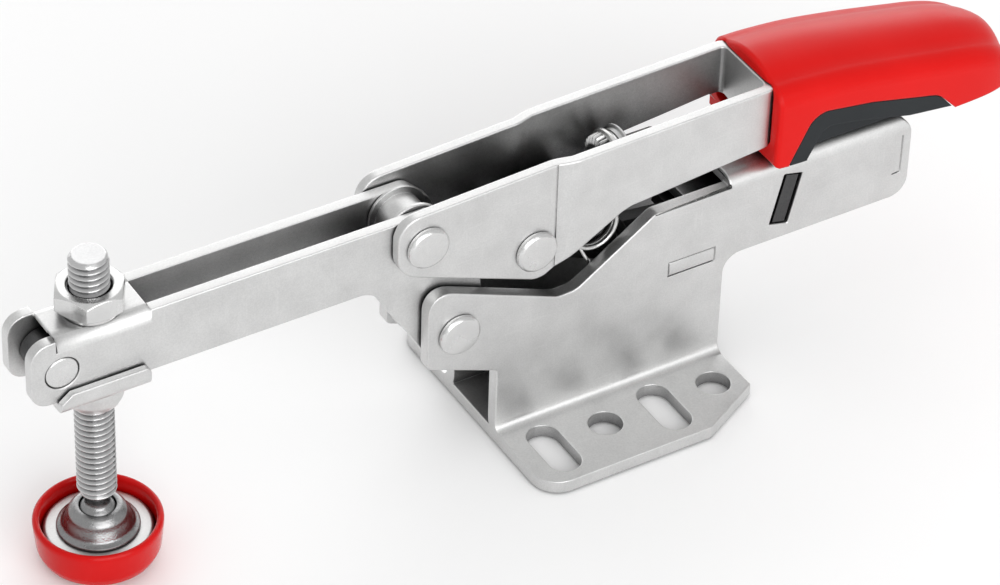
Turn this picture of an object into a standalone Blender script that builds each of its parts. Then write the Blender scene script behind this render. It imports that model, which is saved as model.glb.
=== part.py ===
"""Horizontal toggle clamp with a self-adjusting clamping height, modelled closed.

Sizes are in millimetres and become metres as each mesh is made. The origin is the middle of the
mounting face, +X runs towards the grip, +Z up, and Y = 0 is the plane of symmetry. Side views
are outlines in X and Z. The sheets stand in layers across Y: the link in the middle, then the
arm's bars, the handle's bars, and the base's walls in the same layer as the handle.
"""

import math

import bmesh
import bpy
from mathutils import Matrix, Vector

MM = 0.001
ARC_STEP = math.radians(22.5)
ROUND_SIDES = 20
HOLE_SIDES = 16
HIDDEN_SIDES = 16
BROKEN_EDGE = 0.25

# Pivots in the side view, with the arm, handle and link lying on their toggle line.
ARM_PIVOT = Vector((-36.0, 32.4))
HANDLE_PIVOT = Vector((-43.1, 56.4))
LINK_PIVOT = Vector((-18.1, 45.8))
LINK_LENGTH = 22.0
TOGGLE_LINE = (LINK_PIVOT - HANDLE_PIVOT).normalized()
SLIDE_PIVOT = LINK_PIVOT + TOGGLE_LINE * LINK_LENGTH

# Sheet layers, as distances from the plane of symmetry.
LINK_IN, LINK_OUT = 1.9, 3.5
ARM_IN, ARM_OUT = 3.7, 6.2
LOBE_IN, LOBE_OUT = 6.5, 8.8
BAR_IN, BAR_OUT = 7.5, 9.8
WALL_IN, WALL_OUT = 6.8, 9.75

# Base.
FLANGE_HALF_WIDTH = 30.2
FLANGE_FRONT, FLANGE_REAR = -26.8, 27.1
FLANGE_THICKNESS = 3.0
FLOOR_STRIP_REAR = 7.2
BASE_TOP = 47.2
BASE_REAR = 72.2
WEB_FRONT = 27.6
SLOT_X, SLOT_Y, SLOT_RADIUS, SLOT_HALF_STRAIGHT = (-19.0, 7.4), 20.1, 3.5, 4.0
HOLE_X, HOLE_Y, HOLE_RADIUS = (-5.8, 20.3), 18.6, 3.55

# The slide inside the base runs down to the rear, square to the slanted windows.
SLIDE_SLOPE = math.radians(-13.6)
RAIL_START, RAIL_LENGTH, RAIL_HALF_WIDTH, RAIL_THICKNESS = (18.5, 36.4), 29.5, 5.0, 2.3
EYE_HALF_WIDTH = 1.5
WINDOW_CENTRE = (41.5, 36.95)
WINDOW_SIZE = (4.7, 12.3)
LOCK_PLATE_THICKNESS = 3.0
LOCK_BODY_HALF_WIDTH, LOCK_BODY_REACH = 6.4, 3.6

# Rivets.
SHANK_RADIUS, SHANK_HOLE = 3.0, 3.2
HEAD_RADIUS, HEAD_HEIGHT, HEAD_CHAMFER = 4.55, 1.45, 0.6

# Arm and spindle.
ARM_TOP, ARM_BOTTOM = 61.9, 47.2
ARM_FRONT = -128.0
ARM_WEB = (-121.5, -101.7)
SPINDLE_X = -111.5
SPINDLE_RADIUS = 4.0
SPINDLE_TOP = 74.9
TIP_PIN = (-120.7, 54.0)
NUT_ACROSS_FLATS, NUT_HEIGHT = 13.0, 6.5
BALL_CENTRE, BALL_RADIUS, BALL_GAP = 9.2, 4.6, 0.25

# Handle and grip.
HANDLE_REAR, GRIP_FRONT, GRIP_REAR = 38.0, 36.0, 97.8
SCREW_AXIS = 55.3
GRIP_WALL = 2.3
TONGUE = (58.0, 60.3)


def vector_at(point, height):
    """A side view point (x, z) as a place in space, at this distance across the part."""
    return Vector((point[0], height, point[1]))


# Outlines

def fillet(corners):
    """Closed outline through (u, v, radius) corners, each radius turned into an arc."""
    outline = []
    for index, (u, v, radius) in enumerate(corners):
        here = Vector((u, v))
        if radius == 0:
            outline.append(here)
            continue
        before = (Vector(corners[index - 1][:2]) - here).normalized()
        after = (Vector(corners[(index + 1) % len(corners)][:2]) - here).normalized()
        half = before.angle(after) / 2
        centre = here + (before + after).normalized() * radius / math.sin(half)
        start = here + before * radius / math.tan(half) - centre
        turn = math.pi - 2 * half
        if before.x * after.y - before.y * after.x > 0:
            turn = -turn
        count = max(2, round(abs(turn) / ARC_STEP))
        for step in range(count + 1):
            outline.append(centre + Matrix.Rotation(turn * step / count, 2) @ start)
    return outline


def ring(centre, radius, sides=HOLE_SIDES):
    """Round outline with a corner at each side's end."""
    turns = (2 * math.pi * step / sides for step in range(sides))
    return [Vector(centre) + Vector((math.cos(a), math.sin(a))) * radius for a in turns]


def slot(centre, radius, half_straight):
    """Outline with two half round ends and straight sides along v."""
    outline = []
    for end in (1, -1):
        for step in range(8):
            angle = math.pi * (step / 7 + (end < 0))
            point = Vector((math.cos(angle) * radius, math.sin(angle) * radius + end * half_straight))
            outline.append(Vector(centre) + point)
    return outline


def box(low, high):
    """Rectangle between two opposite corners."""
    return [Vector(p) for p in (low, (high[0], low[1]), high, (low[0], high[1]))]


def turned_box(centre, size, angle):
    """Rectangle (u size, v size) turned about its centre."""
    half = [(-0.5, -0.5), (0.5, -0.5), (0.5, 0.5), (-0.5, 0.5)]
    turn = Matrix.Rotation(angle, 2)
    return [Vector(centre) + turn @ Vector((u * size[0], v * size[1])) for u, v in half]


def hull_of_rounds(rounds):
    """Outline round two or more circles given as (centre, radius), as a link is."""
    points = [p for centre, radius in rounds for p in ring(centre, radius, 24)]
    points.sort(key=lambda p: (p.x, p.y))
    chains = []
    for ordered in (points, points[::-1]):
        chain = []
        for p in ordered:
            while len(chain) > 1 and (chain[-1] - chain[-2]).cross(p - chain[-1]) <= 1e-9:
                chain.pop()
            chain.append(p)
        chains.append(chain[:-1])
    return chains[0] + chains[1]


# Solids

PLANES = {
    "XY": Matrix.Identity(3),
    "XZ": Matrix(((1, 0, 0), (0, 0, -1), (0, 1, 0))),
    "YZ": Matrix(((0, 0, 1), (1, 0, 0), (0, 1, 0))),
}


def collection(name):
    made = bpy.data.collections.new(name)
    bpy.context.scene.collection.children.link(made)
    return made


def prism(name, loops, low, high, plane="XZ"):
    """Mesh object of a flat outline, and its holes, that is thick from low to high."""
    curve = bpy.data.curves.new(name, "CURVE")
    curve.dimensions = "2D"
    curve.fill_mode = "BOTH"
    curve.extrude = (high - low) / 2 * MM
    for loop in loops:
        spline = curve.splines.new("POLY")
        spline.points.add(len(loop) - 1)
        for point, place in zip(spline.points, loop):
            point.co = (place[0] * MM, place[1] * MM, 0.0, 1.0)
        spline.use_cyclic_u = True
    holder = bpy.data.objects.new(name, curve)
    middle = (low + high) / 2 * MM * (-1 if plane == "XZ" else 1)
    turn = PLANES[plane].to_4x4()
    return as_mesh(name, holder, turn @ Matrix.Translation((0, 0, middle)))


def as_mesh(name, holder, matrix):
    """The object that a curve makes, as a welded mesh whose place is in its points."""
    PARTS.objects.link(holder)
    bpy.context.view_layer.update()
    graph = bpy.context.evaluated_depsgraph_get()
    mesh = bpy.data.meshes.new_from_object(holder.evaluated_get(graph))
    bpy.data.objects.remove(holder)
    made = bmesh.new()
    made.from_mesh(mesh)
    bmesh.ops.remove_doubles(made, verts=made.verts, dist=1e-6)
    bmesh.ops.transform(made, matrix=matrix, verts=made.verts)
    bmesh.ops.recalc_face_normals(made, faces=made.faces)
    made.to_mesh(mesh)
    made.free()
    piece = bpy.data.objects.new(name, mesh)
    PARTS.objects.link(piece)
    return piece


def turned(name, profile, base, axis="Z", sides=ROUND_SIDES):
    """Turned solid: (radius, height) points from the top of its axis down its outside."""
    mesh = bpy.data.meshes.new(name)
    made = bmesh.new()
    points = [made.verts.new((r * MM, 0, h * MM)) for r, h in profile]
    for first, second in zip(points, points[1:]):
        made.edges.new((first, second))
    if profile[0][0] > 0:
        made.edges.new((points[-1], points[0]))
    made.to_mesh(mesh)
    made.free()
    piece = bpy.data.objects.new(name, mesh)
    PARTS.objects.link(piece)
    screw = piece.modifiers.new("turn", "SCREW")
    screw.steps = screw.render_steps = sides
    screw.use_merge_vertices = True
    screw.merge_threshold = 1e-6
    turn = {"Z": (0, 0, 0), "Y": (math.radians(-90), 0, 0), "X": (0, math.radians(90), 0)}
    piece.rotation_euler = turn[axis]
    piece.location = Vector(base) * MM
    mesh.shade_smooth()
    return piece


def lofted(name, sections):
    """Closed skin through rings of equal count, each a list of points, capped at both ends."""
    made = bmesh.new()
    rings = [[made.verts.new(Vector(p) * MM) for p in section] for section in sections]
    for first, second in zip(rings, rings[1:]):
        for index in range(len(first)):
            after = (index + 1) % len(first)
            made.faces.new((first[index], first[after], second[after], second[index]))
    made.faces.new(rings[0])
    made.faces.new(rings[-1][::-1])
    bmesh.ops.recalc_face_normals(made, faces=made.faces)
    mesh = bpy.data.meshes.new(name)
    made.to_mesh(mesh)
    made.free()
    piece = bpy.data.objects.new(name, mesh)
    PARTS.objects.link(piece)
    return piece


def wire(name, points, radius):
    """Round wire along points in space, closed at both ends."""
    curve = bpy.data.curves.new(name, "CURVE")
    curve.dimensions = "3D"
    curve.bevel_depth = radius * MM
    curve.bevel_resolution = 2
    curve.use_fill_caps = True
    spline = curve.splines.new("POLY")
    spline.points.add(len(points) - 1)
    for point, place in zip(spline.points, points):
        point.co = (*(Vector(place) * MM), 1.0)
    return as_mesh(name, bpy.data.objects.new(name, curve), Matrix.Identity(4))


def change(piece, tool, operation):
    """Cuts the piece with a tool, joins the tool to it, or keeps only what lies in both."""
    boolean = piece.modifiers.new(tool.name, "BOOLEAN")
    boolean.operation = operation
    boolean.object = tool
    tool.hide_render = True
    tool.display_type = "WIRE"
    PARTS.objects.unlink(tool)
    CUTTERS.objects.link(tool)
    return piece


def cut(piece, *tools):
    for tool in tools:
        change(piece, tool, "DIFFERENCE")
    return piece


def keep_in(piece, tool):
    return change(piece, tool, "INTERSECT")


def join(piece, *tools):
    for tool in tools:
        change(piece, tool, "UNION")
    return piece


def ease_edges(piece):
    """Breaks a sheet's sharp outer edges, before its holes are punched."""
    bevel = piece.modifiers.new("broken edges", "BEVEL")
    bevel.width = BROKEN_EDGE * MM
    bevel.segments = 1
    bevel.limit_method = "ANGLE"
    bevel.angle_limit = math.radians(50)
    return piece


def mirrored_pair(make):
    """Calls make for the near side (-1) and the far side (1)."""
    return [make(name, side) for name, side in (("near", -1), ("far", 1))]


# Materials

def material(name, colour, metallic, roughness):
    made = bpy.data.materials.new(name)
    made.use_nodes = True
    shader = made.node_tree.nodes["Principled BSDF"]
    shader.inputs["Base Color"].default_value = (*colour, 1.0)
    shader.inputs["Metallic"].default_value = metallic
    shader.inputs["Roughness"].default_value = roughness
    made.diffuse_color = (*colour, 1.0)
    return made


def paint(finish, *pieces):
    for piece in pieces:
        piece.data.materials.clear()
        piece.data.materials.append(finish)


def ride_on(parent, *pieces):
    """Hangs the pieces on their body's empty without moving them."""
    bpy.context.view_layer.update()
    for piece in pieces:
        piece.parent = parent
        piece.matrix_parent_inverse = parent.matrix_world.inverted()


def body(name, place):
    """Empty on a body's joint axis."""
    empty = bpy.data.objects.new(name, None)
    empty.empty_display_size = 5 * MM
    empty.location = Vector(place) * MM
    PARTS.objects.link(empty)
    return empty


# Base

def hat_section():
    """Flanges, walls and the web that joins the walls, folded from one sheet."""
    outer, inner = WALL_OUT, WALL_IN
    under = BASE_TOP - FLANGE_THICKNESS
    return fillet([
        (FLANGE_HALF_WIDTH, 0, 0), (FLANGE_HALF_WIDTH, FLANGE_THICKNESS, 0),
        (outer, FLANGE_THICKNESS, 2.0), (outer, BASE_TOP, 3.4),
        (-outer, BASE_TOP, 3.4), (-outer, FLANGE_THICKNESS, 2.0),
        (-FLANGE_HALF_WIDTH, FLANGE_THICKNESS, 0), (-FLANGE_HALF_WIDTH, 0, 0),
        (-inner, 0, 5.0), (-inner, under, 0.6), (inner, under, 0.6), (inner, 0, 5.0),
    ])


def base_side_view():
    """Pivot lobe, valley for the opened handle, rising flank, step, long rear and foot."""
    front, rear = -43.0, FLANGE_REAR - 0.1
    return fillet([
        (FLANGE_FRONT, -1, 0), (FLANGE_FRONT, 18.9, 0.5), (front, 25.6, 1.6),
        (front, 45.4, 4.2), (-12.8, 32.5, 4.0), (-8.6, 32.7, 4.0), (9.4, 44.9, 3.0),
        (WEB_FRONT, 44.9, 0), (WEB_FRONT, BASE_TOP + 0.1, 0), (BASE_REAR, BASE_TOP + 0.1, 4.6),
        (BASE_REAR, 27.3, 4.2), (rear, 27.3, 4.0), (rear, -1, 0),
    ])


def flange_openings():
    """Outlines of the mounting slots and of the round holes between them."""
    outlines = []
    for side in (-1, 1):
        for x in SLOT_X:
            outlines.append(slot((x, side * SLOT_Y), SLOT_RADIUS, SLOT_HALF_STRAIGHT))
        for x in HOLE_X:
            outlines.append(ring((x, side * HOLE_Y), HOLE_RADIUS))
    return outlines


def base_plan():
    """The base from above: flanges with rounded front corners and cut rear corners, then the walls."""
    half, rear = FLANGE_HALF_WIDTH, BASE_REAR + 1
    near = [(FLANGE_FRONT - 20, -15, 0), (FLANGE_FRONT, -15, 0), (FLANGE_FRONT, -half, 6.0), (12.5, -half, 0),
            (FLANGE_REAR, -22.5, 0), (rear, -22.5, 0)]
    return fillet(near + [(x, -y, radius) for x, y, radius in reversed(near)])


def base_body():
    base = prism("base_body", [hat_section()], -43.6, BASE_REAR + 0.6, "YZ")
    keep_in(base, prism("base_side", [base_side_view()], -40, 40))
    keep_in(base, prism("base_plan", [base_plan()], -5, 60, "XY"))
    front_web = box((-WALL_IN, 6), (WALL_IN, 60))
    cut(base, prism("front_web_cut", [front_web], -50, WEB_FRONT, "YZ"))
    strip = box((FLANGE_FRONT, -12), (FLOOR_STRIP_REAR, 12))
    join(base, prism("floor_strip", [strip], 0, FLANGE_THICKNESS, "XY"))
    ease_edges(base)
    window = turned_box(WINDOW_CENTRE, WINDOW_SIZE, SLIDE_SLOPE)
    cut(base, prism("window_cut", [window, ring(ARM_PIVOT, SHANK_HOLE)], -15, 15))
    return cut(base, prism("flange_openings", flange_openings(), -1, 4, "XY"))


def slope_point(along, above=0.0):
    """Point of the slide's own frame: along the rail from its front end, and above its middle."""
    turn = Matrix.Rotation(SLIDE_SLOPE, 2)
    return Vector(RAIL_START) + turn @ Vector((along, above))


def guide_plate():
    """Plate across the walls above the rail, its two ends seated against the walls."""
    length, middle = 13.0, 8.0
    outline = turned_box(slope_point(middle, 3.6), (length, 2.0), SLIDE_SLOPE)
    return prism("guide_plate", [outline], -WALL_IN + 0.05, WALL_IN - 0.05)


def lock_plate():
    """Canting plate: a tab in each window, and between the walls a body closed round the rail."""
    turn = Matrix.Rotation(-SLIDE_SLOPE, 2)
    along, above = turn @ (Vector(WINDOW_CENTRE) - Vector(RAIL_START))
    tab = WINDOW_SIZE[1] / 2 - 0.4
    height = above + tab + LOCK_BODY_REACH
    middle = slope_point(along, height / 2 - LOCK_BODY_REACH)
    outline = turned_box(middle, (LOCK_PLATE_THICKNESS, height), SLIDE_SLOPE)
    plate = prism("lock_plate", [outline], -WALL_OUT + 0.3, WALL_OUT - 0.3)
    under_tab = turned_box(slope_point(along, above - tab - 10), (12, 20), SLIDE_SLOPE)
    for side in (-1, 1):
        low, high = sorted((side * LOCK_BODY_HALF_WIDTH, side * (WALL_OUT + 1)))
        cut(plate, prism("under_tab_cut", [under_tab], low, high))
    hole = turned_box(slope_point(along), (12, RAIL_THICKNESS + 0.7), SLIDE_SLOPE)
    return cut(plate, prism("rail_slot_cut", [hole], -RAIL_HALF_WIDTH - 0.3, RAIL_HALF_WIDTH + 0.3))


def slide_rail():
    """Flat rail, and in front the narrow eye between the link's plates that takes their thrust."""
    start = slope_point(0)
    outline = turned_box(slope_point(RAIL_LENGTH / 2), (RAIL_LENGTH, RAIL_THICKNESS), SLIDE_SLOPE)
    rail = prism("slide_rail", [outline], -RAIL_HALF_WIDTH, RAIL_HALF_WIDTH)
    neck = [Vector(p) for p in (
        SLIDE_PIVOT + Vector((0, 2.0)), SLIDE_PIVOT - Vector((0, 3.0)), start + Vector((2, -1.6)),
        start + Vector((2, 0.5)))]
    join(rail, prism("rail_neck", [neck], -EYE_HALF_WIDTH, EYE_HALF_WIDTH))
    join(rail, prism("rail_eye", [ring(SLIDE_PIVOT, 4.2)], -EYE_HALF_WIDTH, EYE_HALF_WIDTH))
    return cut(rail, prism("rail_eye_hole", [ring(SLIDE_PIVOT, 2.7)], -3, 3))


def slide_pin():
    return pin("slide_pin", SLIDE_PIVOT, 2.5, 1.6)


# Rivets, pins and bushes

def pin(name, place, radius, half_length, chamfer=0.3):
    profile = [
        (0, half_length), (radius - chamfer, half_length), (radius, half_length - chamfer),
        (radius, chamfer - half_length), (radius - chamfer, -half_length), (0, -half_length)]
    return turned(name, profile, vector_at(place, 0), "Y")


def rivet(name, place, seat):
    """Shank with a raised flat head on each side, the heads standing on the sheets."""
    top = seat + HEAD_HEIGHT
    half = [
        (0, top), (HEAD_RADIUS - HEAD_CHAMFER, top), (HEAD_RADIUS, top - HEAD_CHAMFER),
        (HEAD_RADIUS, seat), (SHANK_RADIUS, seat)]
    profile = half + [(r, -h) for r, h in reversed(half)]
    return turned(name, profile, vector_at(place, 0), "Y")


def tube(name, place, inner, outer, low, high):
    """Plain bush or spacer across the part, from low to high along Y."""
    profile = [(inner, high), (outer - 0.2, high), (outer, high - 0.2),
               (outer, low + 0.2), (outer - 0.2, low), (inner, low)]
    return turned(name, profile, vector_at(place, 0), "Y", HIDDEN_SIDES)


def collared_bush(name, place):
    """Bush between the arm's bars, with a collar against each bar."""
    end = ARM_IN - 0.05
    half = [(SHANK_HOLE, end), (6.4, end), (6.4, end - 0.8), (5.0, end - 0.8)]
    profile = half + [(r, -h) for r, h in reversed(half)]
    return turned(name, profile, vector_at(place, 0), "Y", HIDDEN_SIDES)


# Arm and spindle

def arm_side_view():
    """Ears, level bar, throat and the leg that hangs on the front pivot."""
    x = ARM_PIVOT.x
    return fillet([
        (ARM_FRONT, ARM_TOP, 3.2), (ARM_FRONT, ARM_BOTTOM, 3.6), (x - 17.6, ARM_BOTTOM, 5.0),
        (x - 4.4, 24.7, 4.5), (x + 7.1, 24.7, 5.0), (x + 7.1, 40.9, 9.0),
        (x + 0.8, 57.0, 6.0), (x - 4.3, ARM_TOP, 3.0),
    ])


def bend_cut(name, side, radius, ends):
    """Tool that rounds the outside of the arm's bend between its web and one bar."""
    edge, top = side * ARM_OUT, ARM_TOP
    corner = [Vector((edge + side, top + 1)), Vector((edge - side * radius, top + 1))]
    for step in range(6):
        angle = math.radians(18) * step
        across = edge - side * radius + side * radius * math.sin(angle)
        corner.append(Vector((across, top - radius + radius * math.cos(angle))))
    corner.append(Vector((edge + side, top - radius)))
    return prism(name, [corner], *ends, "YZ")


def clamp_arm():
    """One folded sheet: two bars, and a web over the spindle that joins them."""
    arm = prism("clamp_arm", [arm_side_view()], -ARM_OUT, ARM_OUT)
    under = ARM_TOP - ARM_OUT + ARM_IN
    channel = [Vector(p) for p in (
        (ARM_FRONT - 5, 0), (0, 0), (0, 80), (ARM_WEB[1], 80), (ARM_WEB[1], under),
        (ARM_WEB[0], under), (ARM_WEB[0], 80), (ARM_FRONT - 5, 80))]
    cut(arm, prism("arm_channel", [channel], -ARM_IN, ARM_IN))
    for name, side in (("near_bend", -1), ("far_bend", 1)):
        cut(arm, bend_cut(name, side, 2.6, ARM_WEB))
    ease_edges(arm)
    holes = [ring(ARM_PIVOT, SHANK_HOLE), ring(HANDLE_PIVOT, SHANK_HOLE), ring(TIP_PIN, 3.75)]
    cut(arm, prism("arm_holes", holes, -10, 10))
    # The bore is wider than the gap between the bars, so it leaves a shallow groove in each.
    return cut(arm, prism("spindle_hole", [ring((SPINDLE_X, 0), 4.3)], 40, 70, "XY"))


def spindle():
    """M8 spindle: chamfered top, threaded length, neck and the ball of the foot."""
    profile = [(0, SPINDLE_TOP), (3.3, SPINDLE_TOP), (SPINDLE_RADIUS, SPINDLE_TOP - 0.7),
               (SPINDLE_RADIUS, 16.2), (3.2, 15.4), (2.45, 15.0), (2.45, 13.4)]
    start = math.asin(2.6 / BALL_RADIUS)
    for step in range(7):
        angle = start + (math.radians(165) - start) * step / 6
        profile.append((BALL_RADIUS * math.sin(angle), BALL_CENTRE + BALL_RADIUS * math.cos(angle)))
    profile.append((0, profile[-1][1]))
    return turned("spindle", profile, (SPINDLE_X, 0, 0))


def hex_prism(name, across_flats, low, high, bore):
    hexagon = [Vector((SPINDLE_X, 0)) + p for p in ring((0, 0), across_flats / math.sqrt(3), 6)]
    return prism(name, [hexagon, ring((SPINDLE_X, 0), bore)], low, high, "XY")


def hex_nut():
    """Hexagon nut whose corners are chamfered top and bottom."""
    low = ARM_TOP + 0.1
    high = low + NUT_HEIGHT
    nut = hex_prism("hex_nut", NUT_ACROSS_FLATS, low, high, SPINDLE_RADIUS + 0.15)
    flat = NUT_ACROSS_FLATS / 2
    blank = [(0, high + 1), (flat - 1.6, high + 1), (flat + 2.2, high - 1.2),
             (flat + 2.2, low + 1.2), (flat - 1.6, low - 1), (0, low - 1)]
    return keep_in(nut, turned("nut_blank", blank, (SPINDLE_X, 0, 0)))


def flanged_nut():
    """Seat under the arm: a plate with an upturned lip on each side and a threaded hub."""
    plate_low, plate_high, lip_top = 44.6, ARM_BOTTOM - 0.1, 49.6
    lip_in, lip_out = ARM_OUT + 0.35, 8.1
    section = fillet([
        (lip_out, plate_low, 1.0), (lip_out, lip_top, 0), (lip_in, lip_top, 0), (lip_in, plate_high, 0),
        (-lip_in, plate_high, 0), (-lip_in, lip_top, 0), (-lip_out, lip_top, 0), (-lip_out, plate_low, 1.0)])
    seat = prism("flanged_nut", [section], SPINDLE_X - 9.2, SPINDLE_X + 9.2, "YZ")
    trimmed = fillet([
        (SPINDLE_X - 9.2, plate_low - 1, 0), (SPINDLE_X + 9.3, plate_low - 1, 0),
        (SPINDLE_X + 9.3, lip_top + 1, 0), (SPINDLE_X - 6.2, lip_top + 1, 0), (SPINDLE_X - 9.2, 46.0, 0)])
    keep_in(seat, prism("lip_trim", [trimmed], -12, 12))
    hub = [(0, 46), (6.3, 46), (6.3, 43.6), (5.9, 41.2), (5.1, 39.6), (0, 39.6)]
    join(seat, turned("nut_hub", hub, (SPINDLE_X, 0, 0)))
    return cut(seat, prism("nut_bore", [ring((SPINDLE_X, 0), SPINDLE_RADIUS + 0.15)], 30, 60, "XY"))


def swivel_cup():
    """Pressed cup crimped round the ball, its rim flared flat on the disc."""
    inside, mouth = BALL_RADIUS + BALL_GAP, 3.75
    outside = [(mouth, 12.4), (4.9, 12.3), (5.9, 11.2), (6.2, 10.2), (6.9, 8.9), (7.2, 8.0), (8.3, 7.6),
               (8.3, 7.15), (5.0, 7.15)]
    low, high = math.asin(mouth / inside), math.radians(112)
    socket = []
    for step in range(4, -1, -1):
        angle = low + (high - low) * step / 5
        socket.append((inside * math.sin(angle), BALL_CENTRE + inside * math.cos(angle)))
    return turned("swivel_cup", outside + socket, (SPINDLE_X, 0, 0))


def pad_disc():
    """Round pressure plate, with a dish in which the ball turns."""
    inside, top = BALL_RADIUS + BALL_GAP, 7.05
    dish = [(0, BALL_CENTRE - inside)]
    for degrees in (15, 30, 45):
        angle = math.radians(degrees)
        dish.append((inside * math.sin(angle), BALL_CENTRE - inside * math.cos(angle)))
    dish.append((math.sqrt(inside ** 2 - (BALL_CENTRE - top) ** 2), top))
    outside = [(10.4, top), (11.0, 6.6), (11.0, 3.7), (10.6, 3.3), (0, 3.3)]
    return turned("pad_disc", dish + outside, (SPINDLE_X, 0, 0))


def pad_cap():
    """Soft cap pulled over the disc, its thick lip rolled inwards over the edge."""
    profile = [(0, 3.0), (11.3, 3.0), (11.35, 7.2), (11.6, 9.2), (11.9, 9.6), (12.35, 9.6), (12.9, 9.2),
               (12.95, 8.4), (12.4, 3.0), (11.6, 1.3), (10.9, 1.0), (0, 1.0)]
    return turned("pad_cap", profile, (SPINDLE_X, 0, 0), sides=32)


# Handle

def handle_plan():
    """Strip folded to a U: two lobes, a small joggle outwards, two bars and the cross web."""
    web_in = HANDLE_REAR - (BAR_OUT - BAR_IN)
    front, step = -52, -13.2
    return fillet([
        (front, LOBE_OUT, 0), (step, LOBE_OUT, 2), (step + 1.6, BAR_OUT, 2), (HANDLE_REAR, BAR_OUT, 3.2),
        (HANDLE_REAR, -BAR_OUT, 3.2), (step + 1.6, -BAR_OUT, 2), (step, -LOBE_OUT, 2), (front, -LOBE_OUT, 0),
        (front, -LOBE_IN, 0), (step + 0.4, -LOBE_IN, 2), (step + 2.0, -BAR_IN, 2), (web_in, -BAR_IN, 1.2),
        (web_in, BAR_IN, 1.2), (step + 2.0, BAR_IN, 2), (step + 0.4, LOBE_IN, 2), (front, LOBE_IN, 0),
    ])


def handle_side_view():
    """Round eye, belly round the link pivot, and the bar rising gently to the rear."""
    rear = HANDLE_REAR + 1
    return fillet([
        (-49.6, 63.9, 5.0), (-49.6, 51.2, 6.2), (-17.0, 37.8, 4.2), (2.4, 49.3, 8.0),
        (rear, 52.7, 0), (rear, 66.7, 0), (-14.0, 65.4, 30.0),
    ])


def handle_bars():
    handle = prism("handle_bars", [handle_plan()], 30, 75, "XY")
    keep_in(handle, prism("handle_side", [handle_side_view()], -12, 12))
    ease_edges(handle)
    holes = [ring(HANDLE_PIVOT, SHANK_HOLE), ring(LINK_PIVOT, SHANK_HOLE)]
    cut(handle, prism("handle_holes", holes, -15, 15))
    rear = 78
    tongue = fillet([
        (HANDLE_REAR - 1.5, -5.5, 0), (rear, -5.5, 2.5), (rear, 5.5, 2.5), (HANDLE_REAR - 1.5, 5.5, 0)])
    return join(handle, prism("handle_tongue", [tongue], *TONGUE, "XY"))


def grip_section(x, half_width, top, bottom, crown=2.4, corner=4.2):
    """Arch across the grip: straight sides, rounded shoulders and a crowned top."""
    shoulder = top - crown
    points = [(-half_width, bottom), (-half_width, (bottom + shoulder) / 2)]
    for step in range(5):
        angle = math.radians(90) * step / 4
        points.append((
            -half_width + corner * (1 - math.cos(angle)), shoulder - corner * (1 - math.sin(angle))))
    inner = half_width - corner
    for share in (-0.5, 0.0):
        points.append((inner * share, top - crown * share * share * (inner / half_width) ** 2 * 2))
    mirror = [(-y, z) for y, z in reversed(points[:-1])]
    return [(x, y, z) for y, z in points + mirror]


GRIP_STATIONS = (
    (GRIP_FRONT, 12.7, 69.6, 48.4), (42.0, 12.8, 69.4, 48.0), (52.0, 12.8, 68.5, 48.0),
    (64.0, 12.7, 66.5, 48.0), (76.0, 12.5, 64.0, 48.0), (85.0, 12.1, 61.8, 47.9),
    (91.0, 11.2, 59.3, 47.7), (95.0, 9.7, 56.4, 47.6), (97.0, 7.6, 53.8, 48.0), (GRIP_REAR, 5.2, 52.0, 48.8),
)


def grip_loft(name, inset, stations):
    sections = []
    for x, half_width, top, bottom in stations:
        corner = min(4.2, half_width * 0.45)
        sections.append(grip_section(
            x, half_width - inset, top - inset, bottom - (12 if inset > 1 else 0),
            corner=max(1.0, corner - inset)))
    return lofted(name, sections)


def insert_edge(gap):
    """Boundary between the shell and the insert in side view, moved down by gap."""
    return fillet([
        (39.6 + gap, 40, 0), (39.4 + gap, 48.6, 0.8), (45.0 + gap, 59.6 - gap, 4.5), (59.0, 57.3 - gap, 14),
        (76.0, 52.9 - gap, 5.0), (81.2 - gap, 47.4, 0), (81.2 - gap, 40, 0),
    ])


def grip_shell():
    shell = grip_loft("grip_shell", 0.0, GRIP_STATIONS)
    cavity = [(x, w, t, b) for x, w, t, b in GRIP_STATIONS[:7]]
    cavity[0] = (GRIP_FRONT + 2.4, *cavity[0][1:])
    cut(shell, grip_loft("grip_hollow", GRIP_WALL, cavity))
    mouth = box((-10.1, 52.2), (10.1, 66.9))
    cut(shell, prism("grip_mouth", [mouth], GRIP_FRONT - 1, GRIP_FRONT + 6, "YZ"))
    return cut(shell, prism("insert_cut", [insert_edge(0.0)], -20, 20))


def grip_insert():
    """Darker inner moulding: a flush band along each side and the core that holds the tongue."""
    insert = grip_loft("grip_insert", 0.1, GRIP_STATIONS)
    keep_in(insert, prism("insert_keep", [insert_edge(0.25)], -20, 20))
    recess = fillet([
        (43.8, 40, 0), (43.8, 48.3, 0), (47.6, 55.2, 3.0), (56.5, 53.4, 4.0), (69.0, 50.2, 0), (82, 48.3, 0),
        (82, 40, 0)])
    for side in (-1, 1):
        low, high = sorted((side * 8.8, side * 20))
        cut(insert, prism(f"finger_recess_{side}", [recess], low, high))
    pocket = fillet([(30, -5.8, 0), (78.3, -5.8, 2.8), (78.3, 5.8, 2.8), (30, 5.8, 0)])
    cut(insert, prism("tongue_pocket", [pocket], TONGUE[0] - 0.1, 70, "XY"))
    top = TONGUE[0] - 0.1
    core = [Vector(p) for p in ((41.5, 52.5), (80.5, 48.8), (80.5, top - 1.0), (76, top), (41.5, top))]
    return join(insert, prism("insert_core", [core], -8.5, 8.5))


# Force adjustment

def screw_bracket():
    """Cross plate between the handle's bars that carries the adjusting screw."""
    width = BAR_IN - 0.05
    hole = ring((0, SCREW_AXIS), SHANK_HOLE)
    return prism("screw_bracket", [box((-width, 50.6), (width, 62.4)), hole], 9.6, 12.2, "YZ")


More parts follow.
